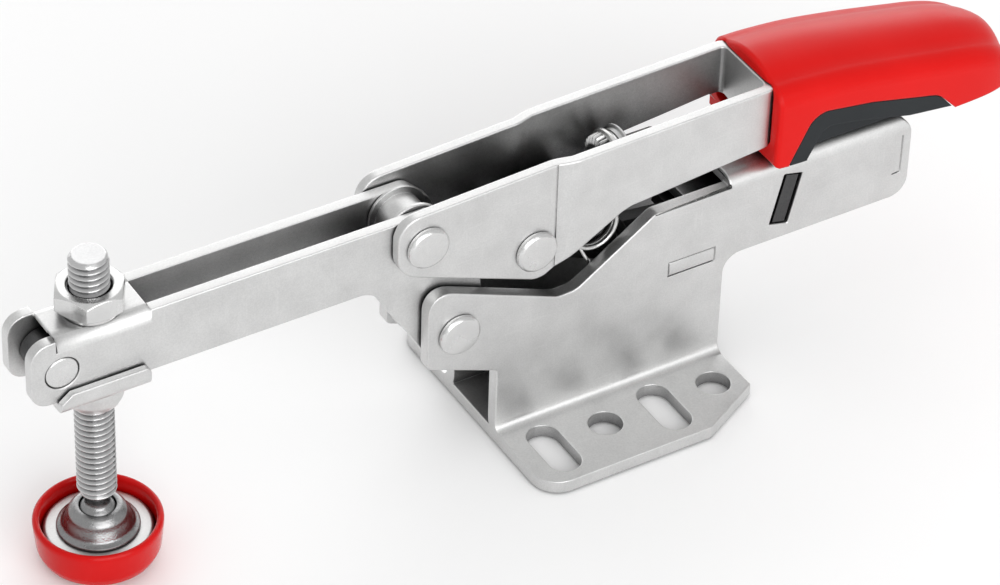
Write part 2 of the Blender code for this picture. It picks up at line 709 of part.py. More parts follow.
def force_screw():
    """Adjusting screw with a serrated cone and rim, made by pressing in every second edge."""
    ridges = 27
    profile = [(0, 15.0), (2.6, 15.0), (3.0, 14.6), (3.0, 4.4), (6.7, 4.4), (6.8, 4.2), (6.8, 2.2), (6.1, 2.0),
               (6.1, 0.0), (3.6, -1.9), (3.0, -1.9), (3.0, -13.4), (2.6, -13.8), (0, -13.8)]
    made = bmesh.new()
    points = [made.verts.new((r * MM, 0, h * MM)) for r, h in profile]
    edges = [made.edges.new(pair) for pair in zip(points, points[1:])]
    bmesh.ops.spin(
        made, geom=points + edges, cent=(0, 0, 0), axis=(0, 0, 1), angle=math.tau, steps=ridges * 2,
        use_merge=True)
    bmesh.ops.remove_doubles(made, verts=made.verts, dist=1e-6)
    for vertex in made.verts:
        radius = math.hypot(vertex.co.x, vertex.co.y) / MM
        turn = math.atan2(vertex.co.y, vertex.co.x) / math.tau * ridges * 2
        if radius > 3.3 and vertex.co.z / MM < 2.1 and round(turn) % 2:
            vertex.co.x *= 0.9
            vertex.co.y *= 0.9
    bmesh.ops.recalc_face_normals(made, faces=made.faces)
    mesh = bpy.data.meshes.new("force_screw")
    made.to_mesh(mesh)
    made.free()
    piece = bpy.data.objects.new("force_screw", mesh)
    PARTS.objects.link(piece)
    piece.rotation_euler = (0, math.radians(90), 0)
    piece.location = Vector((-0.1, 0, SCREW_AXIS)) * MM
    return piece


def lock_ring():
    """Collar on the screw that holds it axially against the bracket."""
    profile = [(3.2, 2.3), (6.3, 2.3), (6.6, 2.0), (6.6, 0.3), (6.3, 0.0), (3.2, 0.0)]
    return turned("lock_ring", profile, (7.0, 0, SCREW_AXIS), "X")


def stop_wedge():
    """Nut wedge on the screw, which sets how far over centre the link closes."""
    outline = fillet([
        (-11.0, 50.0, 0.5), (-3.4, 50.0, 0.5), (-3.4, 60.2, 0.5), (-8.0, 60.2, 1.0), (-11.0, 56.8, 1.0)])
    wedge = prism("stop_wedge", [outline], -6.6, 6.6)
    return cut(wedge, prism("wedge_bore", [ring((0, SCREW_AXIS), SHANK_HOLE)], -20, 5, "YZ"))


# Link

SPRING_PIN = (-2.15, 43.5)


def link_plate(name, side):
    """Strut between its two eyes, its upper flank raised round the spring pin."""
    low, high = sorted((side * LINK_IN, side * LINK_OUT))
    outline = hull_of_rounds([(LINK_PIVOT, 4.8), (SLIDE_PIVOT, 4.8), (SPRING_PIN, 3.6)])
    holes = [ring(LINK_PIVOT, SHANK_HOLE), ring(SLIDE_PIVOT, 2.7), ring(SPRING_PIN, 2.1)]
    return prism(f"link_plate_{name}", [outline] + holes, low, high)


def link_stub(name, side):
    """The link's own share of the pin at the slide, which is divided at the open pivot."""
    half = (LINK_OUT - LINK_IN) / 2
    profile = [(0, half), (2.5, half), (2.5, -half), (0, -half)]
    place = vector_at(SLIDE_PIVOT, side * (LINK_IN + LINK_OUT) / 2)
    return turned(f"link_stub_{name}", profile, place, "Y")


def link_spacer(name, side):
    low, high = sorted((side * (LINK_OUT + 0.15), side * (LOBE_IN - 0.15)))
    return tube(f"link_spacer_{name}", LINK_PIVOT, SHANK_HOLE, 4.7, low, high)


def torsion_spring(name, side):
    """Two coils round the spring pin, one leg up to the handle and one down to the slide."""
    coil_radius, wire_radius, turns, per_turn = 5.0, 0.5, 2, 15
    inner = LINK_OUT + 0.75
    centre = Vector(SPRING_PIN)
    start = math.radians(200)
    points = [vector_at(centre + Vector((-11.5, 5.6)), side * inner)]
    for step in range(turns * per_turn + 1):
        angle = start - math.tau * step / per_turn
        place = centre + Vector((math.cos(angle), math.sin(angle))) * coil_radius
        points.append(vector_at(place, side * (inner + 1.5 * step / per_turn / turns * 1.1)))
    last = points[-1]
    points.append(last + Vector((3.2, 0, -6.4)))
    return wire(f"torsion_spring_{name}", points, wire_radius)


# The whole clamp

def clear_scene():
    for item in list(bpy.data.objects):
        bpy.data.objects.remove(item)


clear_scene()
PARTS = collection("toggle_clamp")
CUTTERS = collection("cutters")


def build():
    zinc = material("zinc plated steel", (0.74, 0.74, 0.73), 0.9, 0.38)
    steel = material("bright steel", (0.66, 0.66, 0.65), 1.0, 0.28)
    dark_steel = material("dark steel", (0.2, 0.2, 0.2), 1.0, 0.4)
    red = material("red moulding", (0.78, 0.012, 0.01), 0.0, 0.3)
    grey = material("dark grey moulding", (0.035, 0.04, 0.045), 0.0, 0.5)

    base = body("base", (0, 0, 0))
    fixed = [
        base_body(), guide_plate(), rivet("arm_pivot_rivet", ARM_PIVOT, WALL_OUT + 0.05),
        collared_bush("arm_pivot_bush", ARM_PIVOT)]
    ride_on(base, *fixed)

    lock = body("lock", vector_at(WINDOW_CENTRE, 0))
    plate = lock_plate()
    ride_on(lock, plate)

    slide = body("slide", vector_at(SLIDE_PIVOT, 0))
    sliding = [slide_rail(), slide_pin()]
    ride_on(slide, *sliding)

    arm = body("arm", vector_at(ARM_PIVOT, 0))
    on_arm = [
        clamp_arm(), pin("tip_pin", TIP_PIN, 3.6, ARM_OUT, 0.25),
        tube("tip_spacer", TIP_PIN, 3.75, 5.0, -ARM_IN + 0.1, ARM_IN - 0.1),
        collared_bush("handle_pivot_bush", HANDLE_PIVOT), flanged_nut()]
    ride_on(arm, *on_arm)

    nut_body = body("nut", (SPINDLE_X, 0, ARM_TOP))
    nut = hex_nut()
    ride_on(nut_body, nut)
    spindle_body = body("spindle_slide", (SPINDLE_X, 0, ARM_TOP))
    screw = spindle()
    ride_on(spindle_body, screw)
    foot = body("foot", (SPINDLE_X, 0, BALL_CENTRE))
    foot_pieces = [swivel_cup(), pad_disc(), pad_cap()]
    ride_on(foot, *foot_pieces)

    handle = body("handle", vector_at(HANDLE_PIVOT, 0))
    on_handle = [
        handle_bars(), grip_shell(), grip_insert(), screw_bracket(), lock_ring(),
        rivet("handle_pivot_rivet", HANDLE_PIVOT, LOBE_OUT + 0.05),
        rivet("link_pivot_rivet", LINK_PIVOT, LOBE_OUT + 0.05), *mirrored_pair(link_spacer)]
    ride_on(handle, *on_handle)

    turning = body("force_turn", (0, 0, SCREW_AXIS))
    knob = force_screw()
    ride_on(turning, knob)
    wedge_body = body("wedge_slide", (-7, 0, SCREW_AXIS))
    wedge = stop_wedge()
    ride_on(wedge_body, wedge)

    link = body("link", vector_at(LINK_PIVOT, 0))
    on_link = [
        *mirrored_pair(link_plate), *mirrored_pair(link_stub), *mirrored_pair(torsion_spring),
        pin("spring_pin", SPRING_PIN, 1.95, LINK_OUT + 2.9)]
    ride_on(link, *on_link)

    for parent, child in ((base, arm), (base, slide), (base, lock), (arm, handle), (arm, nut_body),
                          (arm, spindle_body), (spindle_body, foot), (handle, link),
                          (handle, turning), (handle, wedge_body)):
        ride_on(parent, child)

    paint(zinc, *fixed, *on_arm, *on_handle, plate, nut, *foot_pieces, screw)
    paint(dark_steel, *sliding, *on_link, wedge, on_arm[2])
    paint(steel, knob, on_link[4], on_link[5])
    paint(red, on_handle[1], foot_pieces[2])
    paint(grey, on_handle[2])


build()
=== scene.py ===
"""Looks of a horizontal toggle clamp: its fine surfaces, finishes, floor, light and camera.

Sizes are in millimetres in the clamp's own frame, and become metres as each mesh is made. A side
view is (x, z), a top view is (x, y) and a front view is (y, z).
"""

import math

import bmesh
import bpy
from mathutils import Matrix, Vector
from mathutils.geometry import convex_hull_2d


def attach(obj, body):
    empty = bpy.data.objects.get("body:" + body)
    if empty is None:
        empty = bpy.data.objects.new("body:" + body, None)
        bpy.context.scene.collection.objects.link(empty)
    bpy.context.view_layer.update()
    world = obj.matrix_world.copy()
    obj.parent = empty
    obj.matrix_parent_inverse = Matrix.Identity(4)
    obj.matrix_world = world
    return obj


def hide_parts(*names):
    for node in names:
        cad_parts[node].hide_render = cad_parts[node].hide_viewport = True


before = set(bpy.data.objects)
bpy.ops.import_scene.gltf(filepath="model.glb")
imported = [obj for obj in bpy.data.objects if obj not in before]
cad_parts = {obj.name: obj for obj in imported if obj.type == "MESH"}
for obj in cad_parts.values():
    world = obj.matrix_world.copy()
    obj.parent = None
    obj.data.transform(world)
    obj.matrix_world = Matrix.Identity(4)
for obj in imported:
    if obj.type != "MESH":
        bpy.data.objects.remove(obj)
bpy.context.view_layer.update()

MM = 0.001
TINY = 4.5e-5
ROUND_STEPS = 96

ARM_PIVOT = (-36.0, 32.4)
HANDLE_PIVOT = (-43.1, 56.4)
LINK_PIVOT = (-18.1, 45.8)
SLIDE_PIVOT = (2.155, 37.212)
SPRING_PIN = (-2.15, 43.5)
TIP_PIN = (-120.7, 54.0)
TIP_HOLE = 3.6

LINK_IN, LINK_OUT = 1.9, 3.5
ARM_IN, ARM_OUT = 3.7, 6.2
LOBE_IN, LOBE_OUT = 6.5, 8.8
BAR_IN, BAR_OUT = 7.5, 9.8
WALL_IN, WALL_OUT = 6.8, 9.75

FLANGE_HALF_WIDTH, FLANGE_FRONT, FLANGE_REAR = 30.2, -26.8, 27.1
FLANGE_THICKNESS = 3.0
BASE_TOP, BASE_REAR, WEB_FRONT = 47.2, 72.2, 27.6
SLIDE_SLOPE = math.radians(-13.6)
WINDOW_CENTRE, WINDOW_SIZE = (41.5, 36.95), (4.7, 12.3)

SHANK_RADIUS, SHANK_HOLE = 3.0, 3.2
HEAD_RADIUS, HEAD_HEIGHT = 4.55, 1.45

ARM_TOP, ARM_BOTTOM, ARM_FRONT, ARM_WEB = 61.9, 47.2, -127.3, (-121.5, -101.7)
SPINDLE_X, SPINDLE_TOP = -111.5, 74.9
THREAD_RADIUS, THREAD_ROOT, THREAD_PITCH = 4.0, 3.25, 1.37
NUT_FLATS, NUT_HEIGHT, NUT_LOW = 13.0, 4.6, 63.3
BALL_CENTRE, BALL_RADIUS = 9.2, 4.6

HANDLE_REAR, GRIP_FRONT, GRIP_REAR, GRIP_WALL = 38.0, 36.0, 97.8, 2.3
SCREW_AXIS, KNURL_RIDGES = 55.3, 26
TONGUE = (58.0, 60.3)
CREASE_X = -13.6


# Shaping

def place(view, u, v, depth):
    """Point of a side, top or front view at a distance across it, in metres."""
    places = {"side": (u, depth, v), "top": (u, v, depth), "front": (depth, u, v)}
    return Vector(places[view]) * MM


def piece_from(name, shape):
    """Object of a finished bmesh, its faces pointing outwards."""
    bmesh.ops.remove_doubles(shape, verts=shape.verts, dist=1e-7)
    bmesh.ops.recalc_face_normals(shape, faces=shape.faces)
    mesh = bpy.data.meshes.new(name)
    shape.to_mesh(mesh)
    shape.free()
    piece = bpy.data.objects.new(name, mesh)
    bpy.context.scene.collection.objects.link(piece)
    return piece


def round_corner(shape, corner, radius):
    """Bevels one corner of a flat face to this radius."""
    first, second = (edge.other_vert(corner).co - corner.co for edge in corner.link_edges)
    reach = radius / math.tan(first.angle(second) / 2)
    bmesh.ops.bevel(
        shape, geom=[corner], offset=reach * MM, offset_type="OFFSET", segments=min(12, round(3 + radius)),
        profile=0.5, affect="VERTICES", clamp_overlap=False, material=-1)


def blank(name, corners, low, high, view="side"):
    """Flat outline of (u, v, radius) corners, made solid from low to high across the view."""
    shape = bmesh.new()
    points = [shape.verts.new(place(view, u, v, low)) for u, v, _ in corners]
    shape.faces.new(points)
    for point, (_, _, radius) in zip(points, corners):
        if radius:
            round_corner(shape, point, radius)
    bmesh.ops.remove_doubles(shape, verts=shape.verts, dist=1e-7)
    made = bmesh.ops.extrude_face_region(shape, geom=shape.faces[:], use_keep_orig=True)
    raised = [item for item in made["geom"] if isinstance(item, bmesh.types.BMVert)]
    bmesh.ops.translate(shape, verts=raised, vec=place(view, 0, 0, high - low))
    return piece_from(name, shape)


def box_corners(low, high, radius=0):
    return [(low[0], low[1], radius), (high[0], low[1], radius), (high[0], high[1], radius),
            (low[0], high[1], radius)]


def turned_corners(centre, size, angle, radius=0):
    """Corners of a rectangle turned about its centre."""
    cos, sin = math.cos(angle), math.sin(angle)
    corners = []
    for u, v in ((-0.5, -0.5), (0.5, -0.5), (0.5, 0.5), (-0.5, 0.5)):
        across, up = u * size[0], v * size[1]
        corners.append((centre[0] + cos * across - sin * up, centre[1] + sin * across + cos * up, radius))
    return corners


TURNS = {"side": Matrix.Rotation(math.radians(90), 4, "X"), "top": Matrix.Identity(4),
         "front": Matrix.Rotation(math.radians(90), 4, "Y")}


def drill(name, centre, radius, low, high, view="side"):
    """Plain cylinder from low to high across the view, for a hole or a pin."""
    shape = bmesh.new()
    bmesh.ops.create_cone(
        shape, cap_ends=True, segments=ROUND_STEPS, radius1=radius * MM, radius2=radius * MM,
        depth=(high - low) * MM)
    bmesh.ops.transform(shape, matrix=TURNS[view], verts=shape.verts)
    bmesh.ops.translate(shape, verts=shape.verts, vec=place(view, *centre, (low + high) / 2))
    return piece_from(name, shape)


def rounded_hull(name, discs, low, high):
    """Link outline stretched round discs of (centre, radius), from low to high across."""
    around = [math.tau * step / 64 for step in range(64)]
    points = [Vector((u + radius * math.cos(angle), v + radius * math.sin(angle)))
              for (u, v), radius in discs for angle in around]
    outline = [points[index] for index in convex_hull_2d(points)]
    return blank(name, [(u, v, 0) for u, v in outline], low, high)


def turned(name, profile, centre, axis="Z", steps=ROUND_STEPS):
    """Turned piece: (radius, height) points spun round an axis through the centre."""
    shape = bmesh.new()
    points = [shape.verts.new((radius * MM, 0, height * MM)) for radius, height in profile]
    edges = [shape.edges.new(pair) for pair in zip(points, points[1:])]
    if profile[0][0] > 0:
        edges.append(shape.edges.new((points[-1], points[0])))
    bmesh.ops.spin(
        shape, geom=points + edges, cent=(0, 0, 0), axis=(0, 0, 1), angle=math.tau, steps=steps,
        use_merge=True)
    bmesh.ops.remove_doubles(shape, verts=shape.verts, dist=1e-7)
    turns = {"Z": Matrix.Identity(4), "Y": Matrix.Rotation(math.radians(-90), 4, "X"),
             "X": Matrix.Rotation(math.radians(90), 4, "Y")}
    bmesh.ops.transform(shape, matrix=turns[axis], verts=shape.verts)
    bmesh.ops.translate(shape, verts=shape.verts, vec=Vector(centre) * MM)
    return piece_from(name, shape)


def soften(profile, radius, steps=4):
    """The same (radius, height) profile with its corners off the axis rounded."""
    rounded = [profile[0]]
    for before, here, after in zip(profile, profile[1:], profile[2:]):
        back, ahead = Vector(before) - Vector(here), Vector(after) - Vector(here)
        reach = min(radius, back.length * 0.45, ahead.length * 0.45)
        start, end = Vector(here) + back.normalized() * reach, Vector(here) + ahead.normalized() * reach
        for step in range(steps + 1):
            share = step / steps
            rounded.append(tuple(
                start * (1 - share) ** 2 + Vector(here) * 2 * share * (1 - share) + end * share ** 2))
    return rounded + [profile[-1]]


def combine(piece, tool, operation):
    """Applies a Boolean with the tool, and removes the tool."""
    step = piece.modifiers.new(tool.name, "BOOLEAN")
    step.operation = operation
    step.object = tool
    bpy.context.view_layer.update()
    graph = bpy.context.evaluated_depsgraph_get()
    shaped = bpy.data.meshes.new_from_object(piece.evaluated_get(graph))
    piece.modifiers.remove(step)
    spare = [piece.data, tool.data]
    piece.data = shaped
    bpy.data.objects.remove(tool)
    for mesh in spare:
        bpy.data.meshes.remove(mesh)
    return piece


def cut(piece, *tools):
    for tool in tools:
        combine(piece, tool, "DIFFERENCE")
    return piece


def keep(piece, *tools):
    for tool in tools:
        combine(piece, tool, "INTERSECT")
    return piece


def join(piece, *tools):
    for tool in tools:
        combine(piece, tool, "UNION")
    return piece


def clean(piece):
    """Welds the slivers of a cut piece and dissolves the edges left across its flat faces."""
    shape = bmesh.new()
    shape.from_mesh(piece.data)
    bmesh.ops.remove_doubles(shape, verts=shape.verts, dist=TINY)
    bmesh.ops.dissolve_degenerate(shape, edges=shape.edges, dist=1e-6)
    bmesh.ops.dissolve_limit(
        shape, angle_limit=math.radians(0.3), verts=shape.verts, edges=shape.edges)
    shape.to_mesh(piece.data)
    shape.free()
    return piece


def broken_edges(piece, width=0.3, steps=2, angle=32):
    """Sheet metal's softened edges, with the flat faces left flat in the shading."""
    clean(piece)
    edges = piece.modifiers.new("edges", "BEVEL")
    edges.width = width * MM
    edges.segments = steps
    edges.limit_method = "ANGLE"
    edges.angle_limit = math.radians(angle)
    edges.use_clamp_overlap = False
    return flat_shaded(piece)


def flat_shaded(piece, angle=180):
    """Smooth shading that keeps flat faces flat, with edges sharper than the angle left sharp."""
    piece.data.shade_smooth()
    if angle < 180:
        piece.data.set_sharp_from_angle(angle=math.radians(angle))
    normals = piece.modifiers.new("normals", "WEIGHTED_NORMAL")
    normals.weight = 90
    normals.keep_sharp = True
    return piece


def settled(piece):
    """Applies a piece's live modifiers, so that later cuts stay as sharp as they are made."""
    bpy.context.view_layer.update()
    graph = bpy.context.evaluated_depsgraph_get()
    shaped = bpy.data.meshes.new_from_object(piece.evaluated_get(graph))
    piece.modifiers.clear()
    spare = piece.data
    piece.data = shaped
    bpy.data.meshes.remove(spare)
    return piece


def smooth_round(piece, angle=33):
    """Smooth shading, with the turned steps left sharp."""
    piece.data.shade_smooth()
    piece.data.set_sharp_from_angle(angle=math.radians(angle))
    return piece


def fit(piece, body, finish, slot, *nodes):
    """Paints a finished piece, hangs it on its body, and lets it stand for its CAD nodes."""
    piece.data.materials.clear()
    piece.data.materials.append(finish)
    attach(piece, body)
    if nodes:
        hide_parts(*nodes)
    return piece


# Finishes

def node_group(name, inputs, outputs):
    """Empty shader group with (name, type, default) inputs, and its input and output nodes."""
    group = bpy.data.node_groups.new(name, "ShaderNodeTree")
    for label, kind, value in inputs:
        socket = group.interface.new_socket(name=label, in_out="INPUT", socket_type=kind)
        if value is not None:
            socket.default_value = value
    for label, kind in outputs:
        group.interface.new_socket(name=label, in_out="OUTPUT", socket_type=kind)
    return group, group.nodes.new("NodeGroupInput"), group.nodes.new("NodeGroupOutput")


def add(tree, kind, inputs=(), **settings):
    """Node with settings, and with values or links for its inputs."""
    node = tree.nodes.new(kind)
    for name, value in settings.items():
        setattr(node, name, value)
    for socket, value in dict(inputs).items():
        if isinstance(value, bpy.types.NodeSocket):
            tree.links.new(value, node.inputs[socket])
        else:
            node.inputs[socket].default_value = value
    return node


def grain_group():
    """Tumbled surface: fine speckle and soft clouds, each about half and half."""
    group, given, out = node_group(
        "tumbled_grain",
        [("Grain Size", "NodeSocketFloat", 0.35), ("Cloud Size", "NodeSocketFloat", 6.0)],
        [("Grain", "NodeSocketFloat"), ("Clouds", "NodeSocketFloat")])
    where = add(group, "ShaderNodeTexCoord")
    grain_scale = add(group, "ShaderNodeMath", {0: 1000.0, 1: given.outputs["Grain Size"]}, operation="DIVIDE")
    cloud_scale = add(group, "ShaderNodeMath", {0: 1000.0, 1: given.outputs["Cloud Size"]}, operation="DIVIDE")
    for scale, detail, label in ((grain_scale, 2.0, "Grain"), (cloud_scale, 4.0, "Clouds")):
        noise = add(group, "ShaderNodeTexNoise", {
            "Vector": where.outputs["Object"], "Scale": scale.outputs[0], "Detail": detail, "Roughness": 0.6})
        spread = add(group, "ShaderNodeMapRange", {"Value": noise.outputs["Fac"], "From Min": 0.3, "From Max": 0.7})
        group.links.new(spread.outputs["Result"], out.inputs[label])
    return group


def edge_group():
    """White along the edges, where handling polishes a part and where metal gets its painted highlight."""
    group, given, out = node_group(
        "rounded_edge_mask", [("Reach", "NodeSocketFloat", 0.5)],
        [("Edge", "NodeSocketFloat"), ("Normal", "NodeSocketVector")])
    reach = add(group, "ShaderNodeMath", {0: given.outputs["Reach"], 1: MM}, operation="MULTIPLY")
    bent = add(group, "ShaderNodeBevel", {"Radius": reach.outputs[0]}, samples=4)
    true = add(group, "ShaderNodeNewGeometry")
    alike = add(
        group, "ShaderNodeVectorMath", {0: bent.outputs["Normal"], 1: true.outputs["Normal"]},
        operation="DOT_PRODUCT")
    edge = add(
        group, "ShaderNodeMapRange",
        {"Value": alike.outputs["Value"], "From Min": 0.995, "From Max": 0.86, "To Min": 0.0, "To Max": 1.0})
    group.links.new(edge.outputs["Result"], out.inputs["Edge"])
    group.links.new(bent.outputs["Normal"], out.inputs["Normal"])
    return group


def scratch_group():
    """Sparse hair scratches in two directions."""
    group, given, out = node_group(
        "hair_scratches", [("Density", "NodeSocketFloat", 0.5)], [("Scratch", "NodeSocketFloat")])
    where = add(group, "ShaderNodeTexCoord")
    lines = []
    for turn, stretch in ((0.5, (60.0, 900.0, 900.0)), (-0.9, (900.0, 900.0, 70.0))):
        laid = add(group, "ShaderNodeMapping", {
            "Vector": where.outputs["Object"], "Rotation": (0.3, turn, 0.4), "Scale": stretch})
        noise = add(group, "ShaderNodeTexNoise", {"Vector": laid.outputs["Vector"], "Scale": 1.6, "Detail": 1.0})
        line = add(group, "ShaderNodeMapRange", {
            "Value": noise.outputs["Fac"], "From Min": 0.66, "From Max": 0.74})
        lines.append(line.outputs["Result"])
    both = add(group, "ShaderNodeMath", {0: lines[0], 1: lines[1]}, operation="MAXIMUM")
    faint = add(group, "ShaderNodeMath", {0: both.outputs[0], 1: given.outputs["Density"]}, operation="MULTIPLY")
    group.links.new(faint.outputs[0], out.inputs["Scratch"])
    return group


def painted_recess_shade_group():
    """Painted shade mask: white on open surfaces, falling to black inside channels, slots and under overhangs."""
    group, given, out = node_group(
        "recess_shade", [("Reach", "NodeSocketFloat", 25.0), ("Shut", "NodeSocketFloat", 0.1),
                         ("Full", "NodeSocketFloat", 0.6)],
        [("Open", "NodeSocketFloat")])
    reach = add(group, "ShaderNodeMath", {0: given.outputs["Reach"], 1: MM}, operation="MULTIPLY")
    seen = add(group, "ShaderNodeAmbientOcclusion", {"Distance": reach.outputs[0]}, samples=8)
    span = add(group, "ShaderNodeMapRange", {"Value": seen.outputs["AO"]})
    group.links.new(given.outputs["Shut"], span.inputs["From Min"])
    group.links.new(given.outputs["Full"], span.inputs["From Max"])
    group.links.new(span.outputs["Result"], out.inputs["Open"])
    return group


GRAIN, EDGES, SCRATCHES, PAINTED_RECESS_SHADE = grain_group(), edge_group(), scratch_group(), painted_recess_shade_group()


def use(tree, group, **values):
    node = tree.nodes.new("ShaderNodeGroup")
    node.node_tree = group
    for name, value in values.items():
        node.inputs[name.replace("_", " ")].default_value = value
    return node


def mixed(tree, share, first, second):
    """Colour between two, by a share from 0 to 1."""
    node = tree.nodes.new("ShaderNodeMix")
    node.data_type = "RGBA"
    tree.links.new(share, node.inputs["Factor"])
    for socket, value in ((node.inputs[6], first), (node.inputs[7], second)):
        if isinstance(value, bpy.types.NodeSocket):
            tree.links.new(value, socket)
        else:
            socket.default_value = (*value, 1.0)
    return node.outputs[2]


def between(tree, share, low, high):
    """Number between low and high, by a share from 0 to 1."""
    node = add(tree, "ShaderNodeMapRange", {"Value": share, "To Min": low, "To Max": high})
    return node.outputs["Result"]


def blank_material(name, metallic, colour):
    made = bpy.data.materials.new(name)
    made.use_nodes = True
    made.diffuse_color = (*colour, 1.0)
    shader = made.node_tree.nodes["Principled BSDF"]
    shader.inputs["Metallic"].default_value = metallic
    return made, made.node_tree, shader


def bumped(tree, shader, height, distance, normal):
    bump = add(tree, "ShaderNodeBump", {"Height": height, "Distance": distance * MM, "Normal": normal})
    tree.links.new(bump.outputs["Normal"], shader.inputs["Normal"])


def metal(name, dull, bright, rough, grain_size=0.35, bump=0.006, edge_polish_and_highlight=0.5, scratch=0.12,
          painted_shade_colour=(0.05, 0.05, 0.053), reach=25.0, shut=0.1, full=0.5):
    """Steel with speckled grain, cloudy tone, edges lightened by polish and painted highlight, hair scratches, and
    painted shade in its recesses.
    """
    made, tree, shader = blank_material(name, 1.0, bright)
    grain = use(tree, GRAIN, Grain_Size=grain_size, Cloud_Size=7.0)
    edge = use(tree, EDGES, Reach=0.3)
    scratches = use(tree, SCRATCHES, Density=scratch)
    # Painted shade: ambient occlusion mixes the base colour towards a dark shade colour in channels, slots and under
    # overhangs.
    unshaded_share = use(tree, PAINTED_RECESS_SHADE, Reach=reach, Shut=shut, Full=full)
    tone = add(tree, "ShaderNodeMath", {
        0: grain.outputs["Grain"], 1: grain.outputs["Clouds"]}, operation="ADD", use_clamp=False)
    half = add(tree, "ShaderNodeMath", {0: tone.outputs[0], 1: 0.5}, operation="MULTIPLY")
    sheet = mixed(tree, half.outputs[0], dull, bright)
    # Painted highlight along the edges, together with polish wear: the edge mask lightens the sheet colour.
    edge_lightening = add(tree, "ShaderNodeMath", {0: edge.outputs["Edge"], 1: edge_polish_and_highlight}, operation="MULTIPLY")
    polished_highlit_sheet = mixed(tree, edge_lightening.outputs[0], sheet, tuple(min(1.0, c * 1.12 + 0.05) for c in bright))
    marked = mixed(tree, scratches.outputs["Scratch"], polished_highlit_sheet, tuple(min(1.0, c * 1.1 + 0.05) for c in bright))
    # Colour of the painted shade, mottled by the grain.
    painted_shade_tone = mixed(tree, half.outputs[0], painted_shade_colour, tuple(c * 2.2 for c in painted_shade_colour))
    tree.links.new(mixed(tree, unshaded_share.outputs["Open"], painted_shade_tone, marked), shader.inputs["Base Color"])
    uneven = between(tree, grain.outputs["Clouds"], rough[0], rough[1])
    sharper = add(tree, "ShaderNodeMath", {
        0: edge.outputs["Edge"], 1: -0.06, 2: uneven}, operation="MULTIPLY_ADD")
    tree.links.new(sharper.outputs[0], shader.inputs["Roughness"])
    bumped(tree, shader, grain.outputs["Grain"], bump, edge.outputs["Normal"])
    return made


def moulding(name, deep, plain, rough, grain_size, bump, edge_lightening):
    """Moulded plastic with a fine spark texture and slightly rubbed edges."""
    made, tree, shader = blank_material(name, 0.0, plain)
    grain = use(tree, GRAIN, Grain_Size=grain_size, Cloud_Size=18.0)
    edge = use(tree, EDGES, Reach=0.6)
    body = mixed(tree, grain.outputs["Clouds"], deep, plain)
    shader.inputs["Specular IOR Level"].default_value = 0.16
    rubbed = add(tree, "ShaderNodeMath", {0: edge.outputs["Edge"], 1: 0.35}, operation="MULTIPLY")
    tree.links.new(mixed(tree, rubbed.outputs[0], body, edge_lightening), shader.inputs["Base Color"])
    tree.links.new(between(tree, grain.outputs["Clouds"], rough[0], rough[1]), shader.inputs["Roughness"])
    bumped(tree, shader, grain.outputs["Grain"], bump, edge.outputs["Normal"])
    return made


ZINC = metal("zinc plated sheet", (0.56, 0.56, 0.558), (0.70, 0.70, 0.695), (0.36, 0.44))
ZINC_TURNED = metal("zinc plated turned steel", (0.60, 0.60, 0.598), (0.74, 0.74, 0.735), (0.22, 0.3), 0.25, 0.003)
# The thread's painted shade darkens its valleys, and its full edge polish paints highlights on the crests.
THREAD = metal(
    "zinc plated thread", (0.50, 0.50, 0.505), (0.66, 0.66, 0.66), (0.16, 0.24), 0.2, 0.003, edge_polish_and_highlight=1.0,
    painted_shade_colour=(0.02, 0.02, 0.022), reach=1.0, shut=0.32, full=0.95)
CRIMPED = metal(
    "burnished crimped steel", (0.22, 0.22, 0.225), (0.34, 0.34, 0.34), (0.2, 0.3), 0.3, 0.02, edge_polish_and_highlight=0.6,
    reach=6.0, full=0.7)
BRIGHT = metal(
    "bright steel", (0.50, 0.50, 0.50), (0.70, 0.70, 0.69), (0.18, 0.26), 0.25, 0.002, reach=1.5, full=0.7)
# The knurl's painted shade darkens its grooves, and its full edge polish paints highlights on the ridges.
KNURLED = metal(
    "bright knurled steel", (0.62, 0.62, 0.62), (0.80, 0.80, 0.79), (0.16, 0.24), 0.25, 0.002, edge_polish_and_highlight=1.0,
    painted_shade_colour=(0.02, 0.02, 0.022), reach=0.8, shut=0.4, full=0.92)
DARK = metal("oiled dark steel", (0.06, 0.06, 0.062), (0.10, 0.10, 0.10), (0.38, 0.5), 0.3, 0.004, edge_polish_and_highlight=0.2,
             painted_shade_colour=(0.02, 0.02, 0.02))
RED = moulding(
    "red grip plastic", (0.56, 0.003, 0.002), (0.60, 0.004, 0.003), (0.30, 0.36), 0.16, 0.003, (0.66, 0.02, 0.016))
RED_CAP = moulding(
    "glossy red cap", (0.48, 0.003, 0.003), (0.54, 0.004, 0.004), (0.14, 0.2), 0.6, 0.004, (0.62, 0.02, 0.016))
GREY = moulding(
    "dark grey plastic", (0.014, 0.016, 0.018), (0.020, 0.023, 0.025), (0.42, 0.55), 0.14, 0.005,
    (0.05, 0.055, 0.06))


# Base

def base_side_corners():
    front, rear = -43.0, FLANGE_REAR - 0.1
    return [
        (FLANGE_FRONT, -1, 0), (FLANGE_FRONT, 18.9, 0.5), (front, 25.6, 1.6), (front, 45.4, 4.2),
        (-12.8, 32.5, 4.0), (-8.6, 32.7, 4.0), (9.4, 44.9, 3.0), (WEB_FRONT, 44.9, 0),
        (WEB_FRONT, BASE_TOP + 0.1, 0), (BASE_REAR, BASE_TOP + 0.1, 4.6), (BASE_REAR, 27.3, 4.2),
        (rear, 27.3, 4.0), (rear, -1, 0)]


